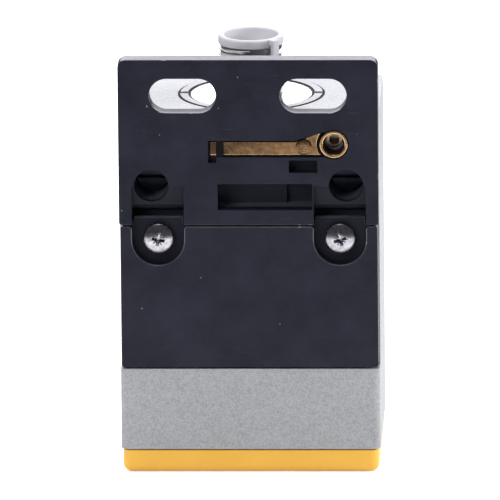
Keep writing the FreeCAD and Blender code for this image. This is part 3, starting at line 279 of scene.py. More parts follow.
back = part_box("mounting_base")[0].y + 0.3 * MM
fade_from, fade_to = cad_box[1].z - 26 * MM, cad_box[1].z - 4 * MM
# Recess is a mask of depth below the back; the black finishes paint shade and light with it, and its Bridge
# output marks where a painted shadow goes over the earth strip.
recess, given, result = new_group("recess", {"Depth": 0.004}, ["Mask", "Bridge"])
axes = add(recess, "ShaderNodeSeparateXYZ", {"Vector": object_place(recess)}).outputs
deep = map_range(recess, math_node(recess, "SUBTRACT", axes["Y"], back), 0.0, given["Depth"])
below_top = map_range(recess, axes["Z"], fade_from, fade_to, 1.0, 0.0)
inside = near(recess, axes["X"], 0.0, cad_box[1].x - 1.5 * MM)
mask = math_node(recess, "MULTIPLY", deep, below_top)
recess.links.new(math_node(recess, "MULTIPLY", mask, inside), result["Mask"])

strip_low, strip_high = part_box("earth_strip")
bridge = strip_low + Vector((3.05, 0, 2.1)) * MM
across = near(recess, axes["X"], bridge.x, 1.15 * MM)
along = near(recess, axes["Z"], bridge.z, 2.6 * MM)
flush = near(recess, axes["Y"], back, 1.0 * MM)
on_bridge = math_node(recess, "MULTIPLY", math_node(recess, "MULTIPLY", across, along), flush)
recess.links.new(on_bridge, result["Bridge"])
print("bridge over the strip at x", round(bridge.x / MM, 2), "z", round(bridge.z / MM, 2), "mm")

# %% [markdown]
# ## Finishes
# ### Black mouldings
# The mounting base and the covers are glass-filled black plastic with a satin skin that has gone slightly
# blue-grey. Recesses keep the matt skin of the mould, so they are rougher, and their colour is darkened as
# painted shade. Deeper in them the colour is lifted again as painted light, most on what faces up and at the
# bottom of the wells, and the bridge over the earth strip is painted nearly black as its shadow. The plastic is
# rubbed in short slanting streaks, and it has pale dust and a few nicks. The rounded edges get their own
# versions: handling chips them on the base, and on the covers they are polished and painted lighter as a
# highlight. The lid on the front has no recess, so it gets none of this painted shade or light. Each finish
# starts from one mottled colour and lays the others over it, each through its own mask.

# %% Layers of a finish
def use_group(tree, group, **values):
    item = add(tree, "ShaderNodeGroup", node_tree=group)
    for label, value in values.items():
        item.inputs[label.replace("_", " ")].default_value = value
    return item.outputs


def spread(tree, value, low, high):
    """A value from nought to one, spread between two others."""
    return map_range(tree, value, 0.0, 1.0, low, high)


def layered(tree, colour, *layers):
    """A colour with others laid over it, each through its own mask."""
    for mask, tone in layers:
        colour = blend_colours(tree, mask, colour, tone)
    return colour


def bump(tree, shader, height, strength, distance):
    item = add(tree, "ShaderNodeBump", {"Height": height, "Strength": strength, "Distance": distance})
    tree.links.new(item.outputs["Normal"], shader.inputs["Normal"])


# Colours laid over the black skin: real rubs and pale specks, and painted shade and painted light for the
# recesses and the bridge.
RUBBED_GREY, PALE_SPECK, BRIDGE_PAINTED_SHADE = (0.09, 0.093, 0.11, 1), (0.3, 0.3, 0.32, 1), (0.002, 0.002, 0.004, 1)
RECESS_PAINTED_SHADE, RECESS_PAINTED_LIGHT = (0.01, 0.0105, 0.017, 1), (0.024, 0.025, 0.037, 1)
UPFACING_PAINTED_LIGHT, WELL_PAINTED_LIGHT = (0.088, 0.091, 0.12, 1), (0.13, 0.135, 0.18, 1)
# These are painted light, lifting the recesses from shallow to deep.
print("dust from shallow to deep:", RECESS_PAINTED_LIGHT[:3], UPFACING_PAINTED_LIGHT[:3], WELL_PAINTED_LIGHT[:3])


# %% Black plastic
def black_plastic(name, dark, light, chip_size, chip_share, depth, gloss=(0.26, 0.44), **plain):
    material, tree, shader = new_material(name, **plain)
    skin = use_group(tree, grain, Scale=2600, Mottle_Scale=70)
    rubbed = use_group(tree, scuffs, Scale=110, Slant=0.5, Share=0.5)["Mask"]
    dust = use_group(tree, specks, Scale=330, Size=chip_size, Share=chip_share)["Mask"]
    nicks = use_group(tree, specks, Scale=95, Size=0.09, Share=0.3)["Mask"]
    hollow = use_group(tree, recess, Depth=depth)
    deeper = math_node(tree, "POWER", use_group(tree, recess, Depth=2 * depth)["Mask"], 5.0)
    deepest = math_node(tree, "POWER", use_group(tree, recess, Depth=5.6 * depth)["Mask"], 12.0)
    facing = add(tree, "ShaderNodeTexCoord").outputs["Normal"]
    upward = add(tree, "ShaderNodeSeparateXYZ", {"Vector": facing}).outputs["Z"]
    marks = math_node(tree, "MAXIMUM", dust, nicks)
    # Over the mottled skin: real rubs; painted shade in recesses; painted light deeper in, on faces that look
    # up and in the wells; painted shadow on the bridge; real dust and nicks.
    colour = layered(tree, blend_colours(tree, spread(tree, skin["Mottle"], -0.9, 1.9), dark, light),
                     (part_of(tree, rubbed, 0.8), RUBBED_GREY), (hollow["Mask"], RECESS_PAINTED_SHADE),
                     (deeper, RECESS_PAINTED_LIGHT), (part_of(tree, deeper, upward), UPFACING_PAINTED_LIGHT), (deepest, WELL_PAINTED_LIGHT),
                     (hollow["Bridge"], BRIDGE_PAINTED_SHADE), (part_of(tree, marks, 0.6), PALE_SPECK))
    tree.links.new(colour, shader.inputs["Base Color"])
    matt = math_node(tree, "MAXIMUM", hollow["Mask"], hollow["Bridge"])
    rough = spread(tree, skin["Mottle"], *gloss)
    for mask, more in ((rubbed, 0.15), (matt, 0.25)):
        rough = math_node(tree, "ADD", rough, part_of(tree, mask, more))
    tree.links.new(rough, shader.inputs["Roughness"])
    bump(tree, shader, skin["Height"], 0.5, 0.00015)
    return material


MATT_AND_SHADE_FROM, NEVER_MATT_OR_SHADED = 2.5 * MM, 1000 * MM
SKIN_DARK, SKIN_LIGHT = (0.009, 0.01, 0.018, 1), (0.019, 0.02, 0.033, 1)
# Below this depth the recess colour is painted shade and painted light; the lid never gets them.
moulded_black = black_plastic("moulded_black", SKIN_DARK, SKIN_LIGHT, 0.13, 0.1, MATT_AND_SHADE_FROM,
                              Specular_IOR_Level=0.15)
lid_black = black_plastic("lid_black", SKIN_DARK, SKIN_LIGHT, 0.13, 0.1, NEVER_MATT_OR_SHADED, Specular_IOR_Level=0.15)
chipped_black_edge = black_plastic("chipped_black_edge", (0.012, 0.013, 0.022, 1), (0.03, 0.032, 0.042, 1),
                                   0.3, 0.55, MATT_AND_SHADE_FROM, Specular_IOR_Level=0.4)
# The covers' rounded edges are polished, and painted lighter as a highlight.
polished_edge_painted_highlight = black_plastic("polished_edge_painted_highlight", (0.02, 0.021, 0.03, 1), (0.06, 0.062, 0.075, 1),
                                    0.2, 0.3, NEVER_MATT_OR_SHADED, (0.0, 0.35), Specular_IOR_Level=0.8)
print("black finishes:", moulded_black.name, lid_black.name, chipped_black_edge.name, polished_edge_painted_highlight.name)

# %% [markdown]
# ### Grey enamel
# The die-cast housing is coated with a grey enamel full of metal powder. Up close it is a field of tiny
# light and dark flecks, and on the edges it is a little brighter. Plain noise would blur the flecks into
# clouds, so they are Voronoi cells, each with a tone of its own, in a fine and a coarse size.

# %% Grey enamel
PALE_ENAMEL = (0.62, 0.63, 0.65, 1)


def grey_enamel(name, dark, light, edge_lift):
    material, tree, shader = new_material(name, Metallic=0.12, Specular_IOR_Level=0.25)
    powder = use_group(tree, flecks, Scale=2300)["Value"]
    coarse = use_group(tree, flecks, Scale=900)["Value"]
    skin = use_group(tree, grain, Scale=1800, Mottle_Scale=45)
    sparkle = math_node(tree, "ADD", part_of(tree, powder, 0.75), part_of(tree, coarse, 0.25))
    colour = layered(tree, blend_colours(tree, sparkle, dark, light),
                     (spread(tree, skin["Mottle"], 0.0, edge_lift), PALE_ENAMEL))
    tree.links.new(colour, shader.inputs["Base Color"])
    tree.links.new(spread(tree, skin["Mottle"], 0.45, 0.6), shader.inputs["Roughness"])
    bump(tree, shader, skin["Height"], 0.15, 0.0001)
    return material


enamel = grey_enamel("grey_enamel", (0.26, 0.265, 0.27, 1), (0.41, 0.415, 0.425, 1), 0.2)
enamel_edge = grey_enamel("grey_enamel_edge", (0.28, 0.285, 0.295, 1), (0.43, 0.435, 0.445, 1), 0.3)
print("grey finishes:", enamel.name, enamel_edge.name)

# %% [markdown]
# ### Yellow, white and grey mouldings
# The sensing cap and the transit plug are plain mouldings. They have no pattern, only a slow change of
# tone, a faint grain that breaks up the highlight, and a few specks of dirt. One function makes them all,
# because they differ only in colour, dirt and gloss. The near-black finish on the split collar's rounded
# edges is made in the same way: it is painted shade in the joints.

# %% Plain mouldings
def moulding(name, dark, light, dirt, dirt_share, gloss):
    material, tree, shader = new_material(name, Specular_IOR_Level=0.5)
    skin = use_group(tree, grain, Scale=1600, Mottle_Scale=60)
    soiled = use_group(tree, specks, Scale=420, Size=0.1, Share=dirt_share)["Mask"]
    rubbed = use_group(tree, scuffs, Scale=140, Slant=0.2, Share=0.55)["Mask"]
    colour = layered(tree, blend_colours(tree, skin["Mottle"], dark, light),
                     (part_of(tree, soiled, 0.5), dirt), (part_of(tree, rubbed, 0.12), dirt))
    tree.links.new(colour, shader.inputs["Base Color"])
    tree.links.new(spread(tree, skin["Mottle"], *gloss), shader.inputs["Roughness"])
    bump(tree, shader, skin["Height"], 0.12, 0.0001)
    return material


cap_yellow = moulding("cap_yellow", (0.86, 0.44, 0.04, 1), (0.95, 0.54, 0.07, 1), (0.3, 0.16, 0.03, 1), 0.1,
                      (0.3, 0.48))
plug_white = moulding("plug_white", (0.5, 0.49, 0.52, 1), (0.6, 0.59, 0.62, 1), (0.4, 0.39, 0.37, 1), 0.06,
                      (0.6, 0.75))
# Near-black for the collar's rounded edges: painted shade in the joints.
joint_painted_shade = moulding("joint_painted_shade", (0.004, 0.004, 0.005, 1), (0.014, 0.014, 0.017, 1), (0.1, 0.1, 0.1, 1), 0.1,
                      (0.7, 0.9))
terminal_grey = moulding("terminal_grey", (0.3, 0.31, 0.32, 1), (0.38, 0.39, 0.4, 1), (0.15, 0.15, 0.15, 1),
                         0.1, (0.4, 0.55))
print("mouldings:", cap_yellow.name, plug_white.name, joint_painted_shade.name, terminal_grey.name)

# %% [markdown]
# ### Metals
# The brass has dulled to brown in patches, and its colour darkens along the strip towards its short end.
# That short end beyond the bridge is painted darker still, as painted shade, and the brass edges are painted
# lighter, as a painted highlight. The nickel and zinc plating stays bright, with a slow change of gloss
# and hair scratches, but the zinc on the earth stud has gone dull. The base screws are blackened steel.
# Each metal is a blend of a clean and a stained tone, driven by the mottle, because tarnish has no sharp
# border. On the brass, the place along the strip adds to it.

# %% Metals
def metal(name, clean, stained, stain, gloss, mottle, contrast=1.0, slant=1.1, darker_run_and_shade=None):
    material, tree, shader = new_material(name, Metallic=1.0)
    skin = use_group(tree, grain, Scale=3200, Mottle_Scale=mottle)
    scratched = use_group(tree, scuffs, Scale=160, Slant=slant, Share=0.45)["Mask"]
    tarnish_and_shade = spread(tree, skin["Mottle"], stain - contrast / 2, stain + contrast / 2)
    if darker_run_and_shade:
        # Darker towards one end of the strip, and below a given x painted dark as shade.
        darker_end, lighter_end, painted_shade_until = darker_run_and_shade
        along = add(tree, "ShaderNodeSeparateXYZ", {"Vector": object_place(tree)}).outputs["X"]
        tarnish_and_shade = math_node(tree, "ADD", tarnish_and_shade, map_range(tree, along, darker_end, lighter_end, 0.45, 0.0))
        painted_shade_end = math_node(tree, "LESS_THAN", along, painted_shade_until)
        tarnish_and_shade = math_node(tree, "ADD", tarnish_and_shade, part_of(tree, painted_shade_end, 0.9))
    colour = layered(tree, blend_colours(tree, tarnish_and_shade, clean, stained),
                     (part_of(tree, scratched, 0.35), clean))
    tree.links.new(colour, shader.inputs["Base Color"])
    rough = math_node(tree, "ADD", spread(tree, skin["Mottle"], *gloss), part_of(tree, scratched, 0.12))
    tree.links.new(rough, shader.inputs["Roughness"])
    bump(tree, shader, skin["Height"], 0.1, 0.00008)
    return material


# The strip darkens towards its short end, and that end beyond the bridge is painted shade.
aged_brass = metal("aged_brass", (0.46, 0.27, 0.125, 1), (0.08, 0.047, 0.028, 1), 0.5, (0.24, 0.42), 520, 1.3,
                   0.03, (strip_low.x, strip_high.x - 6 * MM, bridge.x))
# Lighter brass for the bevelled edges: a painted highlight.
brass_edge_painted_highlight = metal("brass_edge_painted_highlight", (0.85, 0.58, 0.3, 1), (0.4, 0.25, 0.12, 1), 0.4, (0.16, 0.3), 500, 1.4,
                     0.03)
bright_nickel = metal("bright_nickel", (0.86, 0.85, 0.83, 1), (0.66, 0.66, 0.66, 1), 0.3, (0.24, 0.38), 90)
dull_zinc = metal("dull_zinc", (0.6, 0.48, 0.36, 1), (0.2, 0.15, 0.11, 1), 0.45, (0.25, 0.45), 500)
bright_zinc = metal("bright_zinc", (0.54, 0.53, 0.57, 1), (0.26, 0.25, 0.29, 1), 0.44, (0.2, 0.32), 700, 2.2)
black_steel = metal("black_steel", (0.17, 0.18, 0.25, 1), (0.09, 0.095, 0.13, 1), 0.5, (0.6, 0.8), 200)
print("brasses:", aged_brass.name, brass_edge_painted_highlight.name)
print("plating:", bright_nickel.name, dull_zinc.name, bright_zinc.name, black_steel.name)

# %% [markdown]
# ### Seals, core, coil and board
# These pieces are shut inside, and show only where a cover is taken off or the part is cut open. They still
# get their own finish: dull rubber and ferrite, copper wire in close turns, a green board and dark casting
# resin.

# %% Inner finishes
soft_rubber = moulding("soft_rubber", (0.02, 0.02, 0.021, 1), (0.035, 0.035, 0.036, 1), (0.1, 0.1, 0.1, 1), 0.1,
                       (0.7, 0.85))
sintered_ferrite = moulding("sintered_ferrite", (0.07, 0.07, 0.075, 1), (0.14, 0.14, 0.145, 1),
                            (0.2, 0.2, 0.2, 1), 0.2, (0.55, 0.75))
casting_resin = moulding("casting_resin", (0.05, 0.05, 0.055, 1), (0.11, 0.11, 0.115, 1), (0.2, 0.2, 0.2, 1),
                         0.05, (0.25, 0.4))
board_green = moulding("board_green", (0.02, 0.13, 0.06, 1), (0.03, 0.2, 0.09, 1), (0.4, 0.35, 0.15, 1), 0.3,
                       (0.3, 0.4))
lamp_amber = moulding("lamp_amber", (0.85, 0.78, 0.5, 1), (0.92, 0.86, 0.6, 1), (0.6, 0.4, 0.1, 1), 0.1,
                      (0.2, 0.3))

copper_wire, tree, shader = new_material("copper_wire", Metallic=1.0, Roughness=0.35)
turns = add(tree, "ShaderNodeTexWave", {"Vector": object_place(tree), "Scale": 700, "Distortion": 0.6},
            bands_direction="Z").outputs["Fac"]
tree.links.new(blend_colours(tree, turns, (0.25, 0.1, 0.05, 1), (0.75, 0.36, 0.2, 1)),
               shader.inputs["Base Color"])
bump(tree, shader, turns, 0.6, 0.0002)

clear_guide, tree, shader = new_material("clear_guide", Transmission_Weight=0.9, IOR=1.49)
mottle = use_group(tree, grain, Scale=900, Mottle_Scale=80)["Mottle"]
tree.links.new(blend_colours(tree, mottle, (0.8, 0.88, 0.84, 1), (0.95, 0.98, 0.96, 1)),
               shader.inputs["Base Color"])
tree.links.new(spread(tree, mottle, 0.05, 0.15), shader.inputs["Roughness"])
print("inner finishes:", copper_wire.name, clear_guide.name, "and five mouldings")

# %% [markdown]
# The inner pieces, the seals and the small screws keep the shape of their solids. They could be rounded
# like the rest, but they are small or out of sight, so only their material changes.

# %% Solids that keep their shape
FINISHES = {
    "rear_gasket": soft_rubber, "cap_seal": soft_rubber, "front_gasket": soft_rubber,
    "base_screws": black_steel, "cover_screws": bright_zinc, "entry_locknut": bright_nickel,
    "ferrite_core": sintered_ferrite, "coil_bobbin": terminal_grey, "coil_winding": copper_wire,
    "circuit_board": board_green, "light_guides": clear_guide, "status_lamps": lamp_amber,
    "resin_filling": casting_resin, "terminal_block": terminal_grey, "contact_pins": aged_brass,
    "terminal_clamps": bright_zinc, "terminal_screws": bright_zinc,
}
for name, finish in FINISHES.items():
    nodes[name].data.materials.clear()
    nodes[name].data.materials.append(finish)
print("solids that keep their shape:", len(FINISHES))

# %% [markdown]
# ## Moulded and cast pieces with rounded edges
# A moulding never has a knife edge: its corners are rounded by a few tenths of a millimetre, and that thin
# round catches the light. These pieces could be modelled anew, but a copy of the solid keeps every slot and
# step in its place. The copy is merged, its flat triangles are dissolved to whole faces, and its sharp
# edges are selected and bevelled. The bevel's faces get the edge finish. Weighted normals then keep the
# large faces flat and let only the rounds shade.

# %% Rounded copies
FLAT_ANGLE, SHARP_ANGLE = 0.3, 40


def work_on(piece):
    deselect()
    piece.select_set(True)
    bpy.context.view_layer.objects.active = piece


def modify(piece, kind, **settings):
    work_on(piece)
    modifier = piece.modifiers.new(kind.lower(), kind)
    for name, value in settings.items():
        setattr(modifier, name, value)
    bpy.ops.object.modifier_apply(modifier=modifier.name)


def smooth(piece, degrees=35):
    work_on(piece)
    bpy.ops.object.shade_smooth_by_angle(angle=math.radians(degrees))


def seat(piece, body, slot, *replaced):
    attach(piece, body)
    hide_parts(*replaced)
    print(piece.name, "has", len(piece.data.polygons), "faces")


def rounded_copy(node, width, finish, edge_finish, slot, segments=2, merge=0.002, chosen=None, wear_and_highlight=None):
    piece = bpy.data.objects.new(node + "_rounded", nodes[node].data.copy())
    bpy.context.scene.collection.objects.link(piece)
    piece.data.materials.clear()
    piece.data.materials.append(finish)
    piece.data.materials.append(edge_finish)
    work_on(piece)
    bpy.ops.object.mode_set(mode="EDIT")
    bpy.ops.mesh.select_all(action="SELECT")
    bpy.ops.mesh.customdata_custom_splitnormals_clear()
    bpy.ops.mesh.remove_doubles(threshold=merge * MM)
    bpy.ops.mesh.dissolve_limited(angle_limit=math.radians(FLAT_ANGLE))
    bpy.ops.mesh.select_mode(type="EDGE")
    bpy.ops.mesh.select_all(action="DESELECT")
    bpy.ops.mesh.edges_select_sharp(sharpness=math.radians(SHARP_ANGLE))
    bpy.ops.object.mode_set(mode="OBJECT")
    for face in piece.data.polygons:
        face.material_index = 0
    if chosen:
        points = piece.data.vertices
        for edge in piece.data.edges:
            edge.select = edge.select and all(chosen(points[end].co) for end in edge.vertices)
    bpy.ops.object.mode_set(mode="EDIT")
    bpy.ops.mesh.bevel(offset=width * MM, segments=segments, affect="EDGES", clamp_overlap=False,
                       loop_slide=False, material=1)
    bpy.ops.object.mode_set(mode="OBJECT")
    # Bevel faces outside the chosen places go back to the main finish: no wear and no painted highlight there.
    if wear_and_highlight:
        for face in piece.data.polygons:
            face.material_index = face.material_index if wear_and_highlight(face.center) else 0
    smooth(piece)
    modify(piece, "WEIGHTED_NORMAL", keep_sharp=True, weight=100)
    seat(piece, "sensor", slot, node)
    return piece


print("edges that turn by more than", SHARP_ANGLE, "degrees are rounded")

# %% [markdown]
# The base is worn round its outline and its slots, so only those rounds keep its chipped edge finish. The
# rear cover's rounds are painted lighter as a highlight only at its recesses, and the earth strip's only up to
# the bridge, because its short end lies in shade. The base's thinnest wall, between its window and a ramp, sets
# how wide its rounds can be. On the rear cover only the outline of the back and the tabs' top edges are
# rounded, because its recesses run out to nothing beside the posts.

# %% Pieces with rounded edges
base_low, base_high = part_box("mounting_base")
side_wear, slot_wear, foot_wear = base_high.x - 2.5 * MM, base_high.z - 18 * MM, base_low.z + 0.3 * MM
rounded_copy("mounting_base", 0.18, moulded_black, chipped_black_edge, "black_plastic",
             wear_and_highlight=lambda point: abs(point.x) > side_wear or point.z > slot_wear or point.z < foot_wear)
cover_low, cover_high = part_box("rear_cover")
back_face, tab_top = cover_low.y + 0.01 * MM, cover_high.z - 0.01 * MM
plain_foot, plain_side = cover_low.z + 2 * MM, cover_high.x - 1 * MM
rounded_copy("rear_cover", 0.35, moulded_black, polished_edge_painted_highlight, "black_plastic", 3,
             chosen=lambda point: point.y < back_face or point.z > tab_top,
             wear_and_highlight=lambda point: point.z > plain_foot and abs(point.x) < plain_side)
rounded_copy("front_cover", 0.3, lid_black, polished_edge_painted_highlight, "black_plastic")
rounded_copy("housing", 0.2, enamel, enamel_edge, "die_cast_grey", merge=0.18)
rounded_copy("sensing_cap", 0.3, cap_yellow, cap_yellow, "yellow_plastic")
# The collar halves' rounds get the near-black painted shade of the joints.
collars = {half: rounded_copy("entry_collar_" + half, 0.32, enamel, joint_painted_shade, "die_cast_grey")
           for half in ("rear", "front")}
# The strip's edges get the painted highlight only beyond the bridge; the short end stays in painted shade.
rounded_copy("earth_strip", 0.2, aged_brass, brass_edge_painted_highlight, "aged_brass",
             wear_and_highlight=lambda point: point.x > bridge.x)
rounded_copy("earth_bush", 0.35, aged_brass, brass_edge_painted_highlight, "aged_brass", 3)
rounded_copy("earth_stud", 0.2, dull_zinc, dull_zinc, "zinc_steel")

# %% [markdown]
# The two halves of the split collar don't meet: a gap shows between them. Moving the points at their ends
# would fold the rounded corners, so both halves are cut back a little with bisect, which fills the cut. The
# rounds along their other edges keep the near-black finish, painted shade in the joints.

# %% Split of the collar
CUT_BACK = 0.8 * MM
for half, corner, away in (("rear", 1, -1), ("front", 0, 1)):
    collar = collars[half]
    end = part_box("entry_collar_" + half)[corner].y + away * CUT_BACK
    work_on(collar)
    bpy.ops.object.mode_set(mode="EDIT")
    bpy.ops.mesh.select_all(action="SELECT")
    bpy.ops.mesh.customdata_custom_splitnormals_clear()
    bpy.ops.mesh.bisect(plane_co=(0, end, 0), plane_no=(0, -away, 0), use_fill=True, clear_outer=True)
    bpy.ops.object.mode_set(mode="OBJECT")
    smooth(collar)
    modify(collar, "WEIGHTED_NORMAL", keep_sharp=True, weight=100)
    print("collar half", half, "now ends at y", round(end / MM, 2), "mm")

# %% [markdown]
# ## Retaining screws
# Each screw has a round head and a cross recess with four fine ticks between its arms. The dome could be
# cut from a sphere, but insets keep it in one mesh with the rim: the top face of a short cylinder is inset
# again and again, a little higher each time, along an arc that meets the rim at 34 degrees. The recess has
# slanting walls, which are awkward to draw on a round face, so a cross of two tapered bars and two thin
# ones cuts it. The cut edges are then softened.

# %% Bars that cut the cross
SQUARE_ON = 0.9


def choose_faces(piece, wanted):
    """Select only the faces that are wanted, and go to edit mode."""
    bpy.ops.object.mode_set(mode="EDIT")
    bpy.ops.mesh.select_mode(type="FACE")
    bpy.ops.mesh.select_all(action="DESELECT")
    bpy.ops.object.mode_set(mode="OBJECT")
    for face in piece.data.polygons:
        face.select = wanted(face)
    bpy.ops.object.mode_set(mode="EDIT")


def faces_towards(piece, direction):
    choose_faces(piece, lambda face: face.normal.dot(direction) > SQUARE_ON)


def tapered_bar(place, length, width, depth, narrow, turn):
    """A cutter whose lower end is narrower, turned about the screw's axis."""
    deselect()
    bpy.ops.mesh.primitive_cube_add(size=1, location=place)
    bar = bpy.context.object
    bar.scale = (length * MM, 2 * depth * MM, width * MM)
    bpy.ops.object.transform_apply(location=False, rotation=False, scale=True)
    faces_towards(bar, Vector((0, 1, 0)))
    bpy.ops.transform.resize(value=(narrow, 1, narrow))
    bpy.ops.object.mode_set(mode="OBJECT")
    bar.rotation_euler = (0, turn, 0)
    bpy.ops.object.transform_apply(location=True, rotation=True, scale=True)
    return bar


CROSS_ARM = (6.0, 1.5, 2.4, 0.4)
FINE_TICK = (5.2, 0.4, 0.9, 0.6)
print("length, width, depth and taper of an arm:", CROSS_ARM, "and of a tick:", FINE_TICK)

# %% Both screws
HEAD_HEIGHT, SHANK_STEP = 3.6 * MM, 2.2 * MM
DOME_EDGE = math.radians(34)
DOME_STEPS = 9


def pan_head_screw(name, turn):
    low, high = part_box(name)
    middle = (low + high) / 2
    top = low.y
    head = (high.x - low.x) / 2
    seat_plane = top + HEAD_HEIGHT
    bow = head / math.sin(DOME_EDGE)
    side = HEAD_HEIGHT - bow * (1 - math.cos(DOME_EDGE))
    deselect()
    bpy.ops.mesh.primitive_cylinder_add(vertices=64, radius=head, depth=side,
                                        location=(middle.x, seat_plane - side / 2, middle.z),
                                        rotation=(math.pi / 2, 0, 0))
    screw = bpy.context.object
    screw.name = name + "_pan_head"
    bpy.ops.object.transform_apply(location=True, rotation=True, scale=True)
    faces_towards(screw, Vector((0, -1, 0)))
    for step in range(DOME_STEPS):
        outer = DOME_EDGE * (1 - step / (DOME_STEPS + 1))
        inner = DOME_EDGE * (1 - (step + 1) / (DOME_STEPS + 1))
        bpy.ops.mesh.inset(thickness=bow * (math.sin(outer) - math.sin(inner)),
                           depth=bow * (math.cos(inner) - math.cos(outer)))
    faces_towards(screw, Vector((0, 1, 0)))
    bpy.ops.mesh.inset(thickness=SHANK_STEP, depth=0)
    bpy.ops.mesh.extrude_region_move(TRANSFORM_OT_translate={"value": (0, high.y - seat_plane, 0)})
    bpy.ops.object.mode_set(mode="OBJECT")
    place = Vector((middle.x, top, middle.z))
    for sizes, angle in ((CROSS_ARM, 0), (CROSS_ARM, 90), (FINE_TICK, 45), (FINE_TICK, 135)):
        bar = tapered_bar(place, *sizes, turn + math.radians(angle))
        modify(screw, "BOOLEAN", object=bar, operation="DIFFERENCE", solver="EXACT")
        bpy.data.objects.remove(bar)
    modify(screw, "BEVEL", width=0.1 * MM, segments=2, limit_method="ANGLE",
           angle_limit=math.radians(SHARP_ANGLE))
    screw.data.materials.append(bright_zinc)
    smooth(screw, 50)
    return screw


for side, turn in (("left", 0.2), ("right", -0.35)):
    screw = pan_head_screw(f"retaining_screw_{side}", turn)
    seat(screw, f"screw_{side}", "zinc_steel", f"retaining_screw_{side}")

# %% [markdown]
# ## Earth rivet
# The rivet that holds the brass strip was turned, so its low head has rings. A profile could be spun, but
# all the rings lie on one face, so insets that step up and down by a tenth of a millimetre leave them more
# simply.

# %% Earth rivet
RIVET_RADIUS, RIVET_EDGE, RIVET_SEAT = 2.5 * MM, 0.3 * MM, 0.7 * MM
RINGS = ((0.2, 0.2), (0.25, 0.12), (0.12, -0.1), (0.12, 0.1), (0.3, 0.04), (0.12, -0.1), (0.12, 0.1),
         (0.3, 0.02), (0.12, -0.1), (0.3, 0.0), (0.12, 0.1))
low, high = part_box("earth_rivet")
middle = (low + high) / 2
deselect()
bpy.ops.mesh.primitive_cylinder_add(vertices=48, radius=RIVET_RADIUS, depth=RIVET_EDGE,
                                    location=(middle.x, low.y + RIVET_SEAT - RIVET_EDGE / 2, middle.z),
                                    rotation=(math.pi / 2, 0, 0))
rivet = bpy.context.object
rivet.name = "earth_rivet_turned"
bpy.ops.object.transform_apply(location=True, rotation=True, scale=True)
faces_towards(rivet, Vector((0, -1, 0)))
for inward, rise in RINGS:
    bpy.ops.mesh.inset(thickness=inward * MM, depth=rise * MM)
faces_towards(rivet, Vector((0, 1, 0)))
bpy.ops.mesh.inset(thickness=1.2 * MM, depth=0)
bpy.ops.mesh.extrude_region_move(TRANSFORM_OT_translate={"value": (0, high.y - low.y - RIVET_SEAT, 0)})
bpy.ops.object.mode_set(mode="OBJECT")
rivet.data.materials.append(aged_brass)
smooth(rivet, 25)
seat(rivet, "sensor", "aged_brass", "earth_rivet")

# %% [markdown]
# ## Cable entry
# The entry is a turned bush. A profile could be spun round the axis, which leaves a seam to close. Here a
# ring of edges is drawn out station by station instead, up the outside and down the bore, and only the two
# ends are merged. Each station is a radius and a height in millimetres.

# %% Turned bush
def turned_piece(name, centre, stations, sides=96, filled=False):
    """Draw a ring of edges out through radius and height stations, as on a lathe."""
    deselect()
    radius, height = stations[0]
    bpy.ops.mesh.primitive_circle_add(vertices=sides, radius=radius * MM,
                                      fill_type="NGON" if filled else "NOTHING",
                                      location=(centre.x, centre.y, height * MM))
    piece = bpy.context.object
    piece.name = name
    bpy.ops.object.transform_apply(location=True, rotation=True, scale=True)
    bpy.ops.object.mode_set(mode="EDIT")
    bpy.ops.mesh.select_mode(type="VERT")
    bpy.ops.mesh.select_all(action="SELECT")
    for (radius, height), (next_radius, next_height) in zip(stations, stations[1:]):
        rise = (0, 0, (next_height - height) * MM)
        bpy.ops.mesh.extrude_region_move(TRANSFORM_OT_translate={"value": rise})
        grow = next_radius / radius
        bpy.ops.transform.resize(value=(grow, grow, 1), center_override=(centre.x, centre.y, next_height * MM))
    bpy.ops.mesh.select_all(action="SELECT")
    bpy.ops.mesh.remove_doubles(threshold=0.005 * MM)
    bpy.ops.mesh.normals_make_consistent(inside=False)
    bpy.ops.object.mode_set(mode="OBJECT")
    return piece


low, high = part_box("entry_bush")
entry = Vector(((low.x + high.x) / 2, (low.y + high.y) / 2, 0))
foot, rim = low.z / MM, high.z / MM
flange_edge = (high.x - low.x) / 2 / MM
flange_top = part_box("housing")[1].z / MM
flange_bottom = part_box("entry_collar_rear")[0].z / MM + 0.05
bush = turned_piece("entry_bush_turned", entry, [
    (9.05, foot), (10.9, foot), (10.9, flange_bottom), (flange_edge, flange_bottom),
    (flange_edge, flange_top - 0.5), (flange_edge - 0.15, flange_top - 0.15), (flange_edge - 0.5, flange_top),
    (9.6, flange_top), (9.6, rim - 0.35), (9.45, rim), (9.25, rim), (9.05, rim - 0.2), (9.05, foot)])
print("bush of", len(bush.data.polygons), "faces, rim at", round(rim, 2), "mm")

# %% [markdown]
# Its thread is one ridge. Separate rings would look much the same from afar, but they have no start and no
# slope. So a small rectangle whose outer side is made narrow is carried round the axis by the Screw
# modifier, with a half-inch pipe thread's pitch of 1.814 mm.

# %% Thread
THREAD_PITCH, THREAD_TURNS = 1.814 * MM, 8
THREAD_MIDDLE, FIRST_TURN = 9.97 * MM, 0.85
RIDGE_DEPTH, RIDGE_FOOT, CREST_SHARE = 1.0 * MM, 1.5 * MM, 0.25
deselect()
bpy.ops.mesh.primitive_plane_add(size=1, location=(THREAD_MIDDLE, 0, 0), rotation=(math.pi / 2, 0, 0))
thread = bpy.context.object
thread.scale = (RIDGE_DEPTH, RIDGE_FOOT, 1)
bpy.ops.object.transform_apply(location=True, rotation=True, scale=True)
bpy.ops.object.mode_set(mode="EDIT")
bpy.ops.mesh.delete(type="ONLY_FACE")
bpy.ops.mesh.select_mode(type="VERT")
bpy.ops.mesh.select_all(action="DESELECT")
bpy.ops.object.mode_set(mode="OBJECT")
for point in thread.data.vertices:
    point.select = point.co.x > THREAD_MIDDLE
bpy.ops.object.mode_set(mode="EDIT")
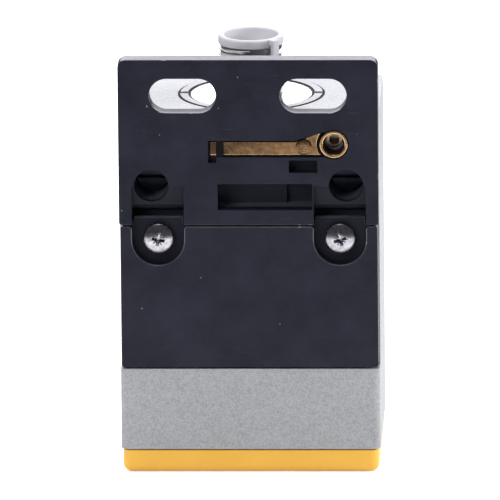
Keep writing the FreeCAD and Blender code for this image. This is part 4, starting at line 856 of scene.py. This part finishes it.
bpy.ops.transform.resize(value=(1, 1, CREST_SHARE))
bpy.ops.object.mode_set(mode="OBJECT")
modify(thread, "SCREW", screw_offset=THREAD_PITCH, iterations=THREAD_TURNS, steps=72, render_steps=72, axis="Z")
work_on(thread)
bpy.ops.object.mode_set(mode="EDIT")
bpy.ops.mesh.select_all(action="SELECT")
bpy.ops.mesh.fill_holes(sides=4)
bpy.ops.mesh.normals_make_consistent(inside=False)
bpy.ops.transform.rotate(value=math.pi / 2, orient_axis="Z", center_override=(0, 0, 0))
bpy.ops.transform.translate(value=(entry.x, entry.y, (flange_top + FIRST_TURN) * MM))
bpy.ops.object.mode_set(mode="OBJECT")
work_on(bush)
thread.select_set(True)
bpy.ops.object.join()
bush.data.materials.append(bright_nickel)
smooth(bush, 30)
seat(bush, "sensor", "nickel", "entry_bush")

# %% [markdown]
# ## Transit plug
# The plug is a thin white cup with a rounded rim, and a pull tab that hangs over the thread. A hollow
# cylinder with bevelled edges would be quicker, but the wall changes its radius many times, so the cup is
# drawn out of a filled disc through its stations, as the bush was. The tab is a small block: a bisect parts
# off the top of its inner face, which is drawn inwards to the rim. Its edges are rounded, and it is turned
# to its place and joined.

# %% Cup
low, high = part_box("transit_plug")
base, crown = low.z / MM, high.z / MM
under, skirt = rim + 0.05, rim - 0.85
plug = turned_piece("transit_plug_cup", entry, [
    (7.8, base), (8.6, base + 0.1), (8.97, base + 0.5), (8.97, under), (9.75, under), (9.75, skirt),
    (9.95, skirt), (10.1, skirt + 0.1), (10.15, skirt + 0.3), (10.15, crown - 0.6), (10.0, crown - 0.2),
    (9.65, crown), (8.75, crown), (8.4, crown - 0.15), (8.22, crown - 0.5), (8.2, base + 1.2),
    (8.0, base + 0.85), (7.6, base + 0.77)], filled=True)
work_on(plug)
bpy.ops.object.mode_set(mode="EDIT")
bpy.ops.mesh.select_all(action="SELECT")
bpy.ops.mesh.fill_holes(sides=200)
bpy.ops.mesh.normals_make_consistent(inside=False)
bpy.ops.object.mode_set(mode="OBJECT")
print("cup of", len(plug.data.polygons), "faces")

# %% Pull tab
TAB_THICK, TAB_WIDE, TAB_HIGH = 1.2 * MM, 2.6 * MM, 5.8 * MM
TAB_MIDDLE, ARM_REACH, TAB_TURN = 11.47 * MM, 1.2 * MM, math.radians(312)
arm_foot = (crown - 1.75) * MM
deselect()
bpy.ops.mesh.primitive_cube_add(size=1, location=(TAB_MIDDLE, 0, crown * MM - TAB_HIGH / 2))
tab = bpy.context.object
tab.scale = (TAB_THICK, TAB_WIDE, TAB_HIGH)
bpy.ops.object.transform_apply(location=True, rotation=True, scale=True)
bpy.ops.object.mode_set(mode="EDIT")
bpy.ops.mesh.select_all(action="SELECT")
bpy.ops.mesh.bisect(plane_co=(0, 0, arm_foot), plane_no=(0, 0, 1))
choose_faces(tab, lambda face: face.normal.x < -SQUARE_ON and face.center.z > arm_foot)
bpy.ops.mesh.extrude_region_move(TRANSFORM_OT_translate={"value": (-ARM_REACH, 0, 0)})
bpy.ops.object.mode_set(mode="OBJECT")
modify(tab, "BEVEL", width=0.25 * MM, segments=3, limit_method="ANGLE",
       angle_limit=math.radians(SHARP_ANGLE))
tab.rotation_euler = (0, 0, TAB_TURN)
tab.location = entry
work_on(tab)
bpy.ops.object.transform_apply(location=True, rotation=True, scale=True)
work_on(plug)
tab.select_set(True)
bpy.ops.object.join()
plug.data.materials.append(plug_white)
smooth(plug, 40)
seat(plug, "plug", "white_plastic", "transit_plug")
